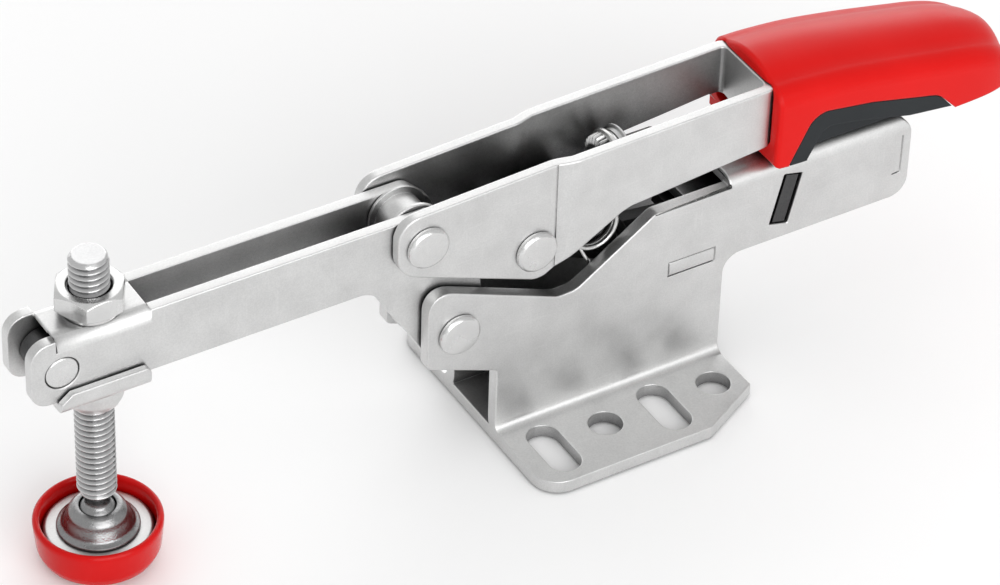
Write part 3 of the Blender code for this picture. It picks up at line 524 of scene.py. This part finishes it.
def base_section_corners():
    """Flanges, walls and top web folded from one sheet."""
    outer, inner, under = WALL_OUT, WALL_IN, BASE_TOP - FLANGE_THICKNESS
    half, thick = FLANGE_HALF_WIDTH, FLANGE_THICKNESS
    return [
        (half, 0, 0), (half, thick, 0), (outer, thick, 2.0), (outer, BASE_TOP, 3.4),
        (-outer, BASE_TOP, 3.4), (-outer, thick, 2.0), (-half, thick, 0), (-half, 0, 0),
        (-inner, 0, 5.0), (-inner, under, 0.6), (inner, under, 0.6), (inner, 0, 5.0)]


def base_plan_corners():
    half, rear = FLANGE_HALF_WIDTH, BASE_REAR + 1
    near = [(FLANGE_FRONT - 20, -15, 0), (FLANGE_FRONT, -15, 0), (FLANGE_FRONT, -half, 6.0),
            (12.5, -half, 1.0), (FLANGE_REAR, -22.5, 0.6), (rear, -22.5, 0)]
    return near + [(x, -y, radius) for x, y, radius in reversed(near)]


def stamped_line(name, start, end, side, width=0.45, depth=0.5):
    """Thin groove in a wall's outer face between two points of the side view."""
    along = Vector(end) - Vector(start)
    centre = (Vector(start) + Vector(end)) / 2
    corners = turned_corners(centre, (along.length + width, width), math.atan2(along.y, along.x))
    low, high = sorted((side * (WALL_OUT - depth), side * (WALL_OUT + 2)))
    return blank(name, corners, low, high)


def stamped_marks(base):
    """A plain stamped rectangle, and a short corner line near the rear."""
    left, right, low, high = 13.5, 24.6, 27.5, 30.8
    lines = [((left, low), (right, low)), ((right, low), (right, high)), ((right, high), (left, high)),
             ((left, high), (left, low)), ((70.0, 42.7), (70.0, 33.6)), ((70.0, 33.6), (68.2, 33.4))]
    for index, (start, end) in enumerate(lines):
        cut(base, stamped_line(f"stamp_{index}", start, end, -1))


def base_body():
    base = blank("base_fine", base_section_corners(), -43.6, BASE_REAR + 0.6, "front")
    keep(base, blank("side", base_side_corners(), -40, 40))
    keep(base, blank("plan", base_plan_corners(), -5, 60, "top"))
    cut(base, blank("front_web", box_corners((-WALL_IN, 6), (WALL_IN, 60)), -50, WEB_FRONT, "front"))
    join(base, blank("strip", box_corners((FLANGE_FRONT, -12), (7.2, 12)), 0, FLANGE_THICKNESS, "top"))
    cut(base, blank("window", turned_corners(WINDOW_CENTRE, WINDOW_SIZE, SLIDE_SLOPE, 0.3), -15, 15))
    cut(base, drill("pivot", ARM_PIVOT, SHANK_HOLE, -15, 15))
    for side in (-1, 1):
        for x in (-19.0, 7.4):
            slot = box_corners((x - 3.5, side * 20.1 - 7.5), (x + 3.5, side * 20.1 + 7.5), 3.45)
            cut(base, blank("slot", slot, -1, 4, "top"))
        for x in (-5.8, 20.3):
            cut(base, drill("hole", (x, side * 18.6), 3.55, -1, 4, "top"))
    settled(broken_edges(base, 0.28))
    stamped_marks(base)
    return flat_shaded(base, 40)


# Rivets, pins and plain turned pieces

def rivet(name, centre, seat):
    """Shank with a flat, slightly domed head on each side."""
    top = seat + HEAD_HEIGHT
    head = [(0, top + 0.06), (2.4, top + 0.04), (HEAD_RADIUS - 0.55, top - 0.04), (HEAD_RADIUS, top - 0.6),
            (HEAD_RADIUS, seat), (SHANK_RADIUS, seat)]
    head = soften(head, 0.18)
    profile = head + [(radius, -height) for radius, height in reversed(head)]
    return smooth_round(turned(name, profile, (centre[0], 0, centre[1]), "Y"), 50)


def flush_pin(name, centre, radius, half_length, chamfer):
    half = soften([(0, half_length), (radius - chamfer, half_length), (radius, half_length - chamfer),
                   (radius, 0)], 0.1)
    profile = half[:-1] + [(r, -h) for r, h in reversed(half[:-1])]
    return smooth_round(turned(name, profile, (centre[0], 0, centre[1]), "Y"), 50)


def bush(name, centre, inner, outer, low, high):
    profile = [(inner, high), (outer - 0.2, high), (outer, high - 0.2), (outer, low + 0.2),
               (outer - 0.2, low), (inner, low)]
    return smooth_round(turned(name, profile, (centre[0], 0, centre[1]), "Y", 64))


def collared_bush(name, centre):
    end = ARM_IN - 0.05
    half = [(SHANK_HOLE, end), (6.2, end), (6.4, end - 0.2), (6.4, end - 0.8), (5.0, end - 0.8)]
    profile = half + [(radius, -height) for radius, height in reversed(half)]
    return smooth_round(turned(name, profile, (centre[0], 0, centre[1]), "Y", 64))


# Arm

def arm_side_corners():
    x = ARM_PIVOT[0]
    return [
        (ARM_FRONT, ARM_TOP, 4.2), (ARM_FRONT, ARM_BOTTOM, 3.8), (x - 17.6, ARM_BOTTOM, 5.0),
        (x - 4.4, 24.7, 4.5), (x + 7.1, 24.7, 5.0), (x + 7.1, 40.9, 9.0), (x + 0.8, 57.0, 6.0),
        (x - 4.3, ARM_TOP, 3.0)]


def bend_tool(side, radius=3.4):
    """What the bend between the arm's web and one bar takes off the outer corner."""
    across = sorted((side * (ARM_OUT - radius), side * (ARM_OUT + 1)))
    tool = blank("bend", box_corners((across[0], ARM_TOP - radius), (across[1], ARM_TOP + 1)), *ARM_WEB, "front")
    centre = (side * (ARM_OUT - radius), ARM_TOP - radius)
    return cut(tool, drill("round", centre, radius, ARM_WEB[0] - 2, ARM_WEB[1] + 2, "front"))


def clamp_arm():
    """One folded sheet: two bars, and a web over the spindle that joins them."""
    arm = blank("arm_fine", arm_side_corners(), -ARM_OUT, ARM_OUT)
    under = ARM_TOP - ARM_OUT + ARM_IN
    channel = [
        (ARM_FRONT - 5, 0, 0), (0, 0, 0), (0, 80, 0), (ARM_WEB[1], 80, 0), (ARM_WEB[1], under, 0),
        (ARM_WEB[0], under, 0), (ARM_WEB[0], 80, 0), (ARM_FRONT - 5, 80, 0)]
    cut(arm, blank("channel", channel, -ARM_IN, ARM_IN))
    front = ARM_WEB[0]
    relief = [(front - 1, 58.9, 0), (front - 1, 61.2, 0), (front + 0.2, 61.2, 0), (front + 2.6, 58.9, 0)]
    cut(arm, blank("relief", relief, -ARM_IN, ARM_IN))
    cut(arm, drill("arm_pivot", ARM_PIVOT, SHANK_HOLE, -10, 10))
    cut(arm, drill("handle_pivot", HANDLE_PIVOT, SHANK_HOLE, -10, 10))
    cut(arm, drill("tip", TIP_PIN, TIP_HOLE, -10, 10))
    cut(arm, drill("spindle", (SPINDLE_X, 0), 4.3, 40, 70, "top"))
    settled(broken_edges(arm, 0.26))
    for side in (-1, 1):
        cut(arm, bend_tool(side))
        low, high = sorted((side * 2.0, side * 8.0))
        cut(arm, blank("slit", box_corners((front - 0.3, ARM_TOP - 2.8), (front + 0.1, ARM_TOP + 1)),
                       low, high))
    return flat_shaded(arm, 40)


# Spindle, nuts and foot

def threaded_spindle():
    """Helical thread spun from one pitch of its profile, then cut square and chamfered."""
    shape = bmesh.new()
    low, top = 16.4, SPINDLE_TOP
    start, steps = low - 2 * THREAD_PITCH, 40
    turns = math.ceil((top - start) / THREAD_PITCH) + 2
    flat = THREAD_PITCH / 8
    profile = [(THREAD_ROOT, 0.0), (THREAD_ROOT, flat), (THREAD_RADIUS - 0.03, THREAD_PITCH / 2 - flat / 2),
               (THREAD_RADIUS - 0.03, THREAD_PITCH / 2 + flat / 2), (THREAD_ROOT, THREAD_PITCH)]
    points = [shape.verts.new((radius * MM, 0, (start + height) * MM)) for radius, height in profile]
    edges = [shape.edges.new(pair) for pair in zip(points, points[1:])]
    bmesh.ops.spin(
        shape, geom=points + edges, cent=(0, 0, 0), axis=(0, 0, 1), dvec=(0, 0, THREAD_PITCH * MM / steps),
        angle=math.tau * turns, steps=steps * turns)
    bmesh.ops.remove_doubles(shape, verts=shape.verts, dist=4e-6)
    for height, outside in ((low, -1), (top, 1)):
        bmesh.ops.bisect_plane(
            shape, geom=shape.verts[:] + shape.edges[:] + shape.faces[:], dist=1e-8,
            plane_co=(0, 0, height * MM), plane_no=(0, 0, outside), clear_outer=True)
        rim = [edge for edge in shape.edges if edge.is_boundary
               and all(abs(v.co.z - height * MM) < 1e-6 for v in edge.verts)]
        bmesh.ops.edgeloop_fill(shape, edges=rim)
    for vertex in shape.verts:
        radius = math.hypot(vertex.co.x, vertex.co.y)
        limit = (3.25 + min(top - vertex.co.z / MM, vertex.co.z / MM - low + 0.2)) * MM
        if radius > limit:
            vertex.co.x *= limit / radius
            vertex.co.y *= limit / radius
    bmesh.ops.translate(shape, verts=shape.verts, vec=(SPINDLE_X * MM, 0, 0))
    return smooth_round(piece_from("spindle_thread", shape), 28)


def spindle_ball():
    """Neck below the thread, and the ball that turns in the foot."""
    profile = [(0, 16.7), (3.3, 16.7), (3.3, 16.1), (2.75, 15.3), (2.45, 15.0), (2.45, 13.4)]
    start = math.asin(2.6 / BALL_RADIUS)
    for step in range(25):
        angle = start + (math.radians(172) - start) * step / 24
        profile.append((BALL_RADIUS * math.sin(angle), BALL_CENTRE + BALL_RADIUS * math.cos(angle)))
    profile.append((0, profile[-1][1]))
    return smooth_round(turned("spindle_ball", profile, (SPINDLE_X, 0, 0)), 50)


def hex_corners(flats):
    reach = flats / math.sqrt(3)
    return [(SPINDLE_X + reach * math.cos(math.radians(60 * k)), reach * math.sin(math.radians(60 * k)), 0)
            for k in range(6)]


def hex_nut():
    """Thin lock nut, chamfered above and below, on its narrow collar."""
    low, high, flat = NUT_LOW, NUT_LOW + NUT_HEIGHT, NUT_FLATS / 2
    nut = blank("nut_fine", hex_corners(NUT_FLATS), low, high, "top")
    dome = [(0, high + 0.01), (flat - 0.3, high + 0.01), (flat + 1.5, high - 1.25), (flat + 1.5, low + 1.1),
            (flat - 0.2, low - 0.01), (0, low - 0.01)]
    keep(nut, turned("nut_dome", dome, (SPINDLE_X, 0, 0)))
    join(nut, drill("nut_collar", (SPINDLE_X, 0), 5.6, ARM_TOP + 0.05, low + 0.4, "top"))
    mouth = [(0, high + 1), (5.6, high + 1), (4.12, high - 0.6), (4.12, low), (4.12, ARM_TOP - 1),
             (0, ARM_TOP - 1)]
    cut(nut, turned("nut_mouth", mouth, (SPINDLE_X, 0, 0)))
    return broken_edges(nut, 0.1, 2, 20)


def seat_nut():
    """Seat under the arm: plate with an upturned lip on each side, and a threaded hub."""
    low, high, top = 45.1, ARM_BOTTOM - 0.1, 49.6
    lip_in, lip_out, front, rear = ARM_OUT + 0.35, 8.1, -122.0, -102.9
    section = [
        (lip_out, low, 1.9), (lip_out, top, 0), (lip_in, top, 0), (lip_in, high, 0),
        (-lip_in, high, 0), (-lip_in, top, 0), (-lip_out, top, 0), (-lip_out, low, 1.9)]
    seat = blank("seat_fine", section, front - 1, rear + 1, "front")
    trim = [(front, low - 1, 0), (rear, low - 1, 0), (rear, top + 0.1, 1.4), (front + 2.6, top + 0.1, 0),
            (front, high + 0.6, 0)]
    keep(seat, blank("trim", trim, -12, 12))
    hub = [(0, 46), (6.3, 46), (6.3, 43.6), (5.9, 41.2), (5.1, 39.6), (0, 39.6)]
    join(seat, turned("hub", soften(hub, 0.4), (SPINDLE_X, 0, 0)))
    cut(seat, drill("bore", (SPINDLE_X, 0), 4.12, 30, 60, "top"))
    return broken_edges(seat, 0.2)


def foot_pieces():
    """Crimped cup, pressure disc and soft cap, turned about the spindle's axis."""
    inside = BALL_RADIUS + 0.25
    cup = [(3.75, 12.4), (4.3, 12.5), (4.9, 12.3), (5.9, 11.2), (6.15, 10.2), (6.75, 9.0), (7.2, 8.05),
           (8.3, 7.65), (8.3, 7.15), (5.0, 7.15)]
    cup = soften(cup, 0.5)
    low, high = math.asin(3.75 / inside), math.radians(112)
    for step in range(14, -1, -1):
        angle = low + (high - low) * step / 15
        cup.append((inside * math.sin(angle), BALL_CENTRE + inside * math.cos(angle)))
    disc = [(0, BALL_CENTRE - inside)]
    disc += [(inside * math.sin(math.radians(a)), BALL_CENTRE - inside * math.cos(math.radians(a)))
             for a in range(8, 64, 7)]
    disc += soften([(4.35, 7.05), (10.4, 7.05), (11.0, 6.6), (11.0, 3.7), (10.6, 3.3), (0, 3.3)], 0.25)
    cap = soften([(0, 3.0), (11.3, 3.0), (11.35, 7.2), (11.55, 9.1), (12.0, 9.65), (12.45, 9.6), (12.9, 9.1),
                  (12.95, 8.4), (12.4, 3.0), (11.7, 1.4), (10.9, 1.0), (0, 1.0)], 0.5, 6)
    centre = (SPINDLE_X, 0, 0)
    return (smooth_round(turned("cup_fine", cup, centre), 55), smooth_round(turned("disc_fine", disc, centre), 40),
            smooth_round(turned("cap_fine", cap, centre, "Z", 128), 60))


# Handle

def handle_plan_corners():
    """Strip folded to a U: two lobes, a small joggle outwards, two bars and the cross web."""
    web_in, front, step = HANDLE_REAR - (BAR_OUT - BAR_IN), -52, CREASE_X
    near = [(front, LOBE_OUT, 0), (step, LOBE_OUT, 0), (step + 3.6, BAR_OUT, 9.0), (HANDLE_REAR, BAR_OUT, 3.2)]
    inner = [(front, -LOBE_IN, 0), (step + 0.3, -LOBE_IN, 9.0), (step + 3.9, -BAR_IN, 0), (web_in, -BAR_IN, 1.2)]
    outside = near + [(x, -y, radius) for x, y, radius in reversed(near)]
    return outside + inner + [(x, -y, radius) for x, y, radius in reversed(inner)]


def handle_side_corners():
    rear = HANDLE_REAR + 1
    return [
        (-49.6, 63.9, 5.0), (-49.6, 51.2, 6.2), (-17.0, 37.8, 4.2), (2.4, 49.3, 8.0), (rear, 52.7, 0),
        (rear, 66.7, 0), (-14.0, 65.4, 30.0)]


def handle_bars():
    handle = blank("handle_fine", handle_plan_corners(), 30, 75, "top")
    keep(handle, blank("side", handle_side_corners(), -12, 12))
    far_edge = [
        (-4, 46.4, 0), (6, 52.4, 6.0), (12, 53.4, 0), (22.8, 54.4, 0), (33.0, 55.4, 0), (33.0, 40, 0), (-4, 40, 0)]
    cut(handle, blank("far_edge", far_edge, 4, 14))
    web_edge = [(-7.6, 52.3, 0), (14, 56.4, 0), (14, 40, 0), (-7.6, 40, 0)]
    cut(handle, blank("web_edge", web_edge, 32.8, HANDLE_REAR + 3, "front"))
    for centre in (HANDLE_PIVOT, LINK_PIVOT):
        cut(handle, drill("pivot", centre, SHANK_HOLE, -15, 15))
    tongue = box_corners((HANDLE_REAR - 1.5, -5.5), (78, 5.5))
    join(handle, blank("tongue", tongue, *TONGUE, "top"))
    settled(broken_edges(handle, 0.28, 2, 28))
    for side in (-1, 1):
        low, high = sorted((side * (LOBE_OUT - 0.22), side * (LOBE_OUT + 1)))
        cut(handle, blank("crease", box_corners((CREASE_X - 0.25, 30), (CREASE_X + 0.12, 75)), low, high))
    return flat_shaded(handle, 12)


GRIP_STATIONS = (
    (36.0, 12.7, 69.6, 48.4), (42.0, 12.8, 69.4, 48.0), (52.0, 12.8, 68.5, 48.0), (64.0, 12.7, 66.5, 48.0),
    (76.0, 12.5, 64.1, 48.0), (85.0, 12.2, 62.2, 47.9), (91.0, 11.6, 60.2, 47.9), (95.0, 10.4, 57.8, 48.2),
    (97.0, 8.7, 55.3, 49.0), (97.8, 6.6, 53.2, 50.2))
RIM = ((0.0, 0.8), (0.3, 0.3), (0.9, 0.0))


def blended_stations(steps=5):
    """Stations between the measured ones, on a smooth curve through them."""
    blended = []
    last = len(GRIP_STATIONS) - 1
    for index in range(last):
        before, start = GRIP_STATIONS[max(0, index - 1)], GRIP_STATIONS[index]
        end, after = GRIP_STATIONS[index + 1], GRIP_STATIONS[min(last, index + 2)]
        for step in range(steps):
            share = step / steps
            span = end[0] - start[0]
            values = [start[0] + span * share]
            for k in (1, 2, 3):
                slope_in = (end[k] - before[k]) / (end[0] - before[0]) * span
                slope_out = (after[k] - start[k]) / (after[0] - start[0]) * span
                values.append(
                    start[k] * (2 * share ** 3 - 3 * share ** 2 + 1) + end[k] * (3 * share ** 2 - 2 * share ** 3)
                    + slope_in * (share ** 3 - 2 * share ** 2 + share) + slope_out * (share ** 3 - share ** 2))
            blended.append(tuple(values))
    return blended + [GRIP_STATIONS[-1]]


def grip_ring(shape, x, half_width, top, bottom, inset):
    """Cross section of the grip as a closed ring: straight sides, round shoulders, crowned top."""
    crown, corner = 2.4, max(1.0, min(4.2, half_width * 0.45) - inset)
    half, high = half_width - inset, top - inset
    low = bottom - (12 if inset > 1 else 0)
    shoulder = high - crown
    side = [(-half, low), (-half, low + (shoulder - corner - low) * 0.5)]
    for step in range(9):
        angle = math.radians(90) * step / 8
        side.append((-half + corner * (1 - math.cos(angle)), shoulder - corner * (1 - math.sin(angle))))
    flat = half - corner
    for step in range(1, 6):
        share = 1 - step / 5
        rise = crown * (1 - share * share)
        side.append((-flat * share, shoulder + rise))
    ring = side + [(-y, z) for y, z in reversed(side[:-1])]
    points = [shape.verts.new((x * MM, y * MM, z * MM)) for y, z in ring]
    return [shape.edges.new((a, b)) for a, b in zip(points, points[1:] + points[:1])]


def grip_loft(name, inset, stations):
    """Closed skin bridged through the grip's cross sections."""
    shape = bmesh.new()
    rings = [grip_ring(shape, *station, inset) for station in stations]
    for first, second in zip(rings, rings[1:]):
        bmesh.ops.bridge_loops(shape, edges=first + second)
    for end in (rings[0], rings[-1]):
        bmesh.ops.contextual_create(shape, geom=end)
    return piece_from(name, shape)


def insert_corners(gap):
    """Boundary between the shell and the insert in side view, moved down by gap."""
    return [
        (39.6 + gap, 40, 0), (39.4 + gap, 48.6, 0.8), (45.0 + gap, 59.6 - gap, 4.5), (59.0, 57.3 - gap, 14),
        (76.0, 52.9 - gap, 5.0), (81.2 - gap, 47.4, 0), (81.2 - gap, 40, 0)]


def grip_shell():
    """Outer moulding with a rounded front rim, hollow, open to the handle's bars and the insert."""
    stations = blended_stations()
    first = stations[0]
    rim = [(GRIP_FRONT + along, first[1] - inset, first[2] - inset, first[3] + inset) for along, inset in RIM]
    shell = grip_loft("shell_fine", 0.0, rim + stations[1:])
    hollow = [(x, w, t, b) for x, w, t, b in stations if x <= 91.0]
    hollow = [(GRIP_FRONT + 2.4, *hollow[0][1:])] + [s for s in hollow if s[0] > GRIP_FRONT + 3]
    cut(shell, grip_loft("hollow", GRIP_WALL, hollow))
    cut(shell, blank("mouth", box_corners((-10.1, 52.2), (10.1, 66.9), 2.0), GRIP_FRONT - 1, GRIP_FRONT + 6, "front"))
    cut(shell, blank("insert", insert_corners(0.0), -20, 20))
    return smooth_round(clean(shell), 30)


def grip_insert():
    """Darker inner moulding: a flush band along each side, finger scoops, and a core."""
    insert = grip_loft("insert_fine", 0.1, blended_stations())
    keep(insert, blank("band", insert_corners(0.25), -20, 20))
    scoop = [(43.8, 40, 0), (43.8, 48.3, 0), (47.6, 55.2, 3.0), (56.5, 53.4, 4.0), (69.0, 50.2, 0), (82, 48.3, 0),
             (82, 40, 0)]
    for side in (-1, 1):
        low, high = sorted((side * 8.8, side * 20))
        cut(insert, blank("scoop", scoop, low, high))
    pocket = [(30, -5.8, 0), (78.3, -5.8, 2.8), (78.3, 5.8, 2.8), (30, 5.8, 0)]
    cut(insert, blank("pocket", pocket, TONGUE[0] - 0.1, 70, "top"))
    top = TONGUE[0] - 0.1
    core = [(41.5, 52.5, 0), (80.5, 48.8, 0), (80.5, top - 1.0, 0), (76, top, 0), (41.5, top, 0)]
    join(insert, blank("core", core, -8.5, 8.5))
    return smooth_round(clean(insert), 30)


# Force adjustment

def force_screw():
    """Adjusting screw: every second line of its head and cone is pressed in as a knurl."""
    profile = soften([
        (0, 15.0), (2.6, 15.0), (3.0, 14.6), (3.0, 5.0), (5.1, 4.95), (5.1, 4.15), (5.8, 4.05), (6.0, 3.8),
        (5.9, 3.3), (5.35, 3.1), (5.25, 2.5), (5.15, 1.8), (5.0, 1.2), (4.0, 0.7), (2.4, 0.6),
        (2.4, -13.4), (2.1, -13.8), (0, -13.8)], 0.12, 2)
    screw = turned("force_screw_fine", profile, (0, 0, 0), "Z", KNURL_RIDGES * 6)
    for vertex in screw.data.vertices:
        radius = math.hypot(vertex.co.x, vertex.co.y) / MM
        turn = math.atan2(vertex.co.y, vertex.co.x) / math.tau * KNURL_RIDGES
        if radius > 3.6 and 0.65 < vertex.co.z / MM < 3.05:
            depth = 1 - 0.17 * abs(2 * (turn % 1.0) - 1)
            vertex.co.x *= depth
            vertex.co.y *= depth
    screw.data.transform(Matrix.Translation((0, 0, SCREW_AXIS * MM)) @ TURNS["front"])
    return smooth_round(screw, 28)


def lock_ring():
    profile = [(3.2, 1.5), (5.9, 1.5), (6.1, 1.3), (6.1, 1.0), (5.4, 0.8), (5.2, 0.6), (5.3, 0.2), (5.2, 0.0),
               (3.2, 0.0)]
    return smooth_round(turned("lock_ring_fine", soften(profile, 0.1), (5.1, 0, SCREW_AXIS), "X"))


def hidden_block(name, low_x, high_x, bore):
    """Block round the screw between the bars, its top sloped down to the far side."""
    section = [(-6.5, 50.2, 0), (-6.5, 60.0, 0.6), (-3.4, 60.0, 1.0), (6.5, 50.9, 0.4), (6.5, 50.2, 0)]
    block = blank(name, section, low_x, high_x, "front")
    cut(block, drill("bore", (0, SCREW_AXIS), bore, low_x - 1, high_x + 1, "front"))
    return broken_edges(block, 0.3)


# Link and slide

def link_plate(side):
    low, high = sorted((side * LINK_IN, side * LINK_OUT))
    plate = rounded_hull(f"link_fine_{side}", [(LINK_PIVOT, 4.8), (SLIDE_PIVOT, 4.8), (SPRING_PIN, 3.6)], low, high)
    cut(plate, drill("pivot", LINK_PIVOT, SHANK_HOLE, low - 1, high + 1))
    cut(plate, drill("slide", SLIDE_PIVOT, 2.7, low - 1, high + 1))
    cut(plate, drill("pin", SPRING_PIN, 2.1, low - 1, high + 1))
    return broken_edges(plate, 0.2)


def torsion_spring(side):
    """Two coils round the spring pin, one leg up to the handle and one down to the slide."""
    coil_radius, wire_radius, turns, per_turn = 5.0, 0.5, 2, 40
    start, depth = math.radians(200), LINK_OUT + 0.75
    x, z = SPRING_PIN
    points = [(x - 11.5, side * depth, z + 5.6)]
    for step in range(turns * per_turn + 1):
        angle = start - math.tau * step / per_turn
        across = side * (depth + 1.65 * step / per_turn / turns)
        points.append((x + coil_radius * math.cos(angle), across, z + coil_radius * math.sin(angle)))
    points.append((points[-1][0] + 3.2, points[-1][1], points[-1][2] - 6.4))
    curve = bpy.data.curves.new(f"spring_{side}", "CURVE")
    curve.dimensions = "3D"
    curve.bevel_depth = wire_radius * MM
    curve.bevel_resolution = 4
    curve.use_fill_caps = True
    path = curve.splines.new("POLY")
    path.points.add(len(points) - 1)
    for knot, point in zip(path.points, points):
        knot.co = (*(Vector(point) * MM), 1.0)
    spring = bpy.data.objects.new(f"spring_{side}", curve)
    bpy.context.scene.collection.objects.link(spring)
    return spring


def dress_clamp():
    """Puts every fine piece on its body, and paints the plain ones that stay."""
    zinc, dark, bright = "zinc_plated_steel", "dark_steel", "bright_steel"
    fit(base_body(), "base", ZINC, zinc, "base_body")
    fit(rivet("arm_rivet_fine", ARM_PIVOT, WALL_OUT + 0.05), "base", ZINC_TURNED, zinc, "arm_pivot_rivet")
    fit(collared_bush("arm_bush_fine", ARM_PIVOT), "base", ZINC, zinc, "arm_pivot_bush")

    fit(clamp_arm(), "arm", ZINC, zinc, "clamp_arm")
    fit(flush_pin("tip_pin_fine", TIP_PIN, 3.45, ARM_OUT, 0.25), "arm", ZINC_TURNED, zinc, "tip_pin")
    # The tip spacer is painted dark steel as painted shade between the arm's ears.
    fit(bush("tip_spacer_fine", TIP_PIN, 3.6, 4.2, -ARM_IN + 0.1, ARM_IN - 0.1), "arm", DARK, zinc, "tip_spacer")
    fit(collared_bush("handle_bush_fine", HANDLE_PIVOT), "arm", ZINC, zinc, "handle_pivot_bush")
    fit(seat_nut(), "arm", ZINC, zinc, "flanged_nut")
    fit(hex_nut(), "nut", ZINC_TURNED, zinc, "hex_nut")

    fit(threaded_spindle(), "spindle", THREAD, zinc, "spindle")
    fit(spindle_ball(), "spindle", CRIMPED, zinc, "spindle")
    cup, disc, cap = foot_pieces()
    fit(cup, "foot", CRIMPED, zinc, "swivel_cup")
    fit(disc, "foot", ZINC, zinc, "pad_disc")
    fit(cap, "foot", RED_CAP, "red_moulding", "pad_cap")

    fit(handle_bars(), "handle", ZINC, zinc, "handle_bars")
    fit(grip_shell(), "handle", RED, "red_moulding", "grip_shell")
    fit(grip_insert(), "handle", GREY, "dark_grey_moulding", "grip_insert")
    for name, centre, node in (("handle_rivet_fine", HANDLE_PIVOT, "handle_pivot_rivet"),
                               ("link_rivet_fine", LINK_PIVOT, "link_pivot_rivet")):
        fit(rivet(name, centre, LOBE_OUT + 0.05), "handle", ZINC_TURNED, zinc, node)
    fit(lock_ring(), "handle", ZINC, zinc, "lock_ring")
    fit(force_screw(), "force_turn", KNURLED, bright, "force_screw")

    for side, name in ((-1, "near"), (1, "far")):
        low, high = sorted((side * (LINK_OUT + 0.15), side * (LOBE_IN - 0.15)))
        spacer = bush(f"link_spacer_fine_{name}", LINK_PIVOT, SHANK_HOLE, 4.7, low, high)
        fit(spacer, "handle", ZINC, zinc, f"link_spacer_{name}")
        fit(link_plate(side), "link", DARK, dark, f"link_plate_{name}")
        fit(torsion_spring(side), "link", BRIGHT, bright, f"torsion_spring_{name}")
    fit(flush_pin("spring_pin_fine", SPRING_PIN, 1.95, LINK_OUT + 2.9, 0.3), "link", DARK, dark, "spring_pin")
    fit(flush_pin("slide_pin_fine", SLIDE_PIVOT, 2.5, 1.6, 0.3), "slide", DARK, dark, "slide_pin")

    fit(hidden_block("wedge_fine", -10.9, -3.5, 2.5), "wedge", DARK, dark, "stop_wedge")
    fit(hidden_block("bracket_fine", 9.7, 12.1, 3.1), "handle", ZINC, zinc, "screw_bracket")

    plain = {"guide_plate": ZINC, "lock_plate": DARK, "slide_rail": DARK, "link_stub_near": DARK,
             "link_stub_far": DARK}
    for name, finish in plain.items():
        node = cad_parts[name]
        node.data.materials.clear()
        node.data.materials.append(finish)


# Studio

CAMERA_PLACE = Vector((-0.39905, -0.60332, 0.60830))
CAMERA_AHEAD = Vector((0.41338, 0.65743, -0.63000))
CAMERA_RIGHT = Vector((0.85798, -0.51293, 0.02771))
CAMERA_UP = Vector((0.30493, 0.55198, 0.77610))


def camera():
    lens = bpy.data.cameras.new("camera")
    lens.sensor_width = 36.0
    lens.lens = 164.32
    lens.shift_x, lens.shift_y = -0.0037, -0.0028
    lens.clip_start, lens.clip_end = 0.05, 20.0
    holder = bpy.data.objects.new("camera", lens)
    bpy.context.scene.collection.objects.link(holder)
    turn = Matrix((CAMERA_RIGHT, CAMERA_UP, -CAMERA_AHEAD)).transposed().to_4x4()
    holder.matrix_world = Matrix.Translation(CAMERA_PLACE) @ turn
    bpy.context.scene.camera = holder


def softbox(name, place_m, target_m, size, power):
    light = bpy.data.lights.new(name, "AREA")
    light.shape = "RECTANGLE"
    light.size, light.size_y = size
    light.energy = power
    holder = bpy.data.objects.new(name, light)
    bpy.context.scene.collection.objects.link(holder)
    holder.location = place_m
    ahead = Vector(target_m) - Vector(place_m)
    holder.rotation_euler = ahead.to_track_quat("-Z", "Y").to_euler()


def floor():
    shape = bmesh.new()
    bmesh.ops.create_grid(shape, x_segments=1, y_segments=1, size=3.0)
    bmesh.ops.translate(shape, verts=shape.verts, vec=(0, 0, -0.0004))
    ground = piece_from("floor", shape)
    made, tree, shader = blank_material("pale floor", 0.0, (0.9, 0.9, 0.9))
    grain = use(tree, GRAIN, Grain_Size=2.0, Cloud_Size=300.0)
    tree.links.new(
        mixed(tree, grain.outputs["Clouds"], (0.90, 0.90, 0.90), (0.92, 0.92, 0.92)), shader.inputs["Base Color"])
    shader.inputs["Roughness"].default_value = 0.8
    ground.data.materials.append(made)


def studio():
    world = bpy.data.worlds.new("studio")
    bpy.context.scene.world = world
    world.use_nodes = True
    backdrop = world.node_tree.nodes["Background"]
    backdrop.inputs["Color"].default_value = (1.0, 1.0, 1.0, 1.0)
    backdrop.inputs["Strength"].default_value = 0.75
    bpy.context.scene.view_settings.view_transform = "Standard"
    softbox("front", (-0.2, -1.4, 0.7), (0, 0, 0.03), (1.6, 1.0), 17)
    softbox("overhead", (0.62, 0.99, 0.95), (0, 0, 0.04), (1.3, 1.0), 3.5)
    softbox("back", (0.60, 1.32, 0.37), (0, 0, 0.06), (2.0, 0.6), 7)


dress_clamp()
floor()
studio()
camera()
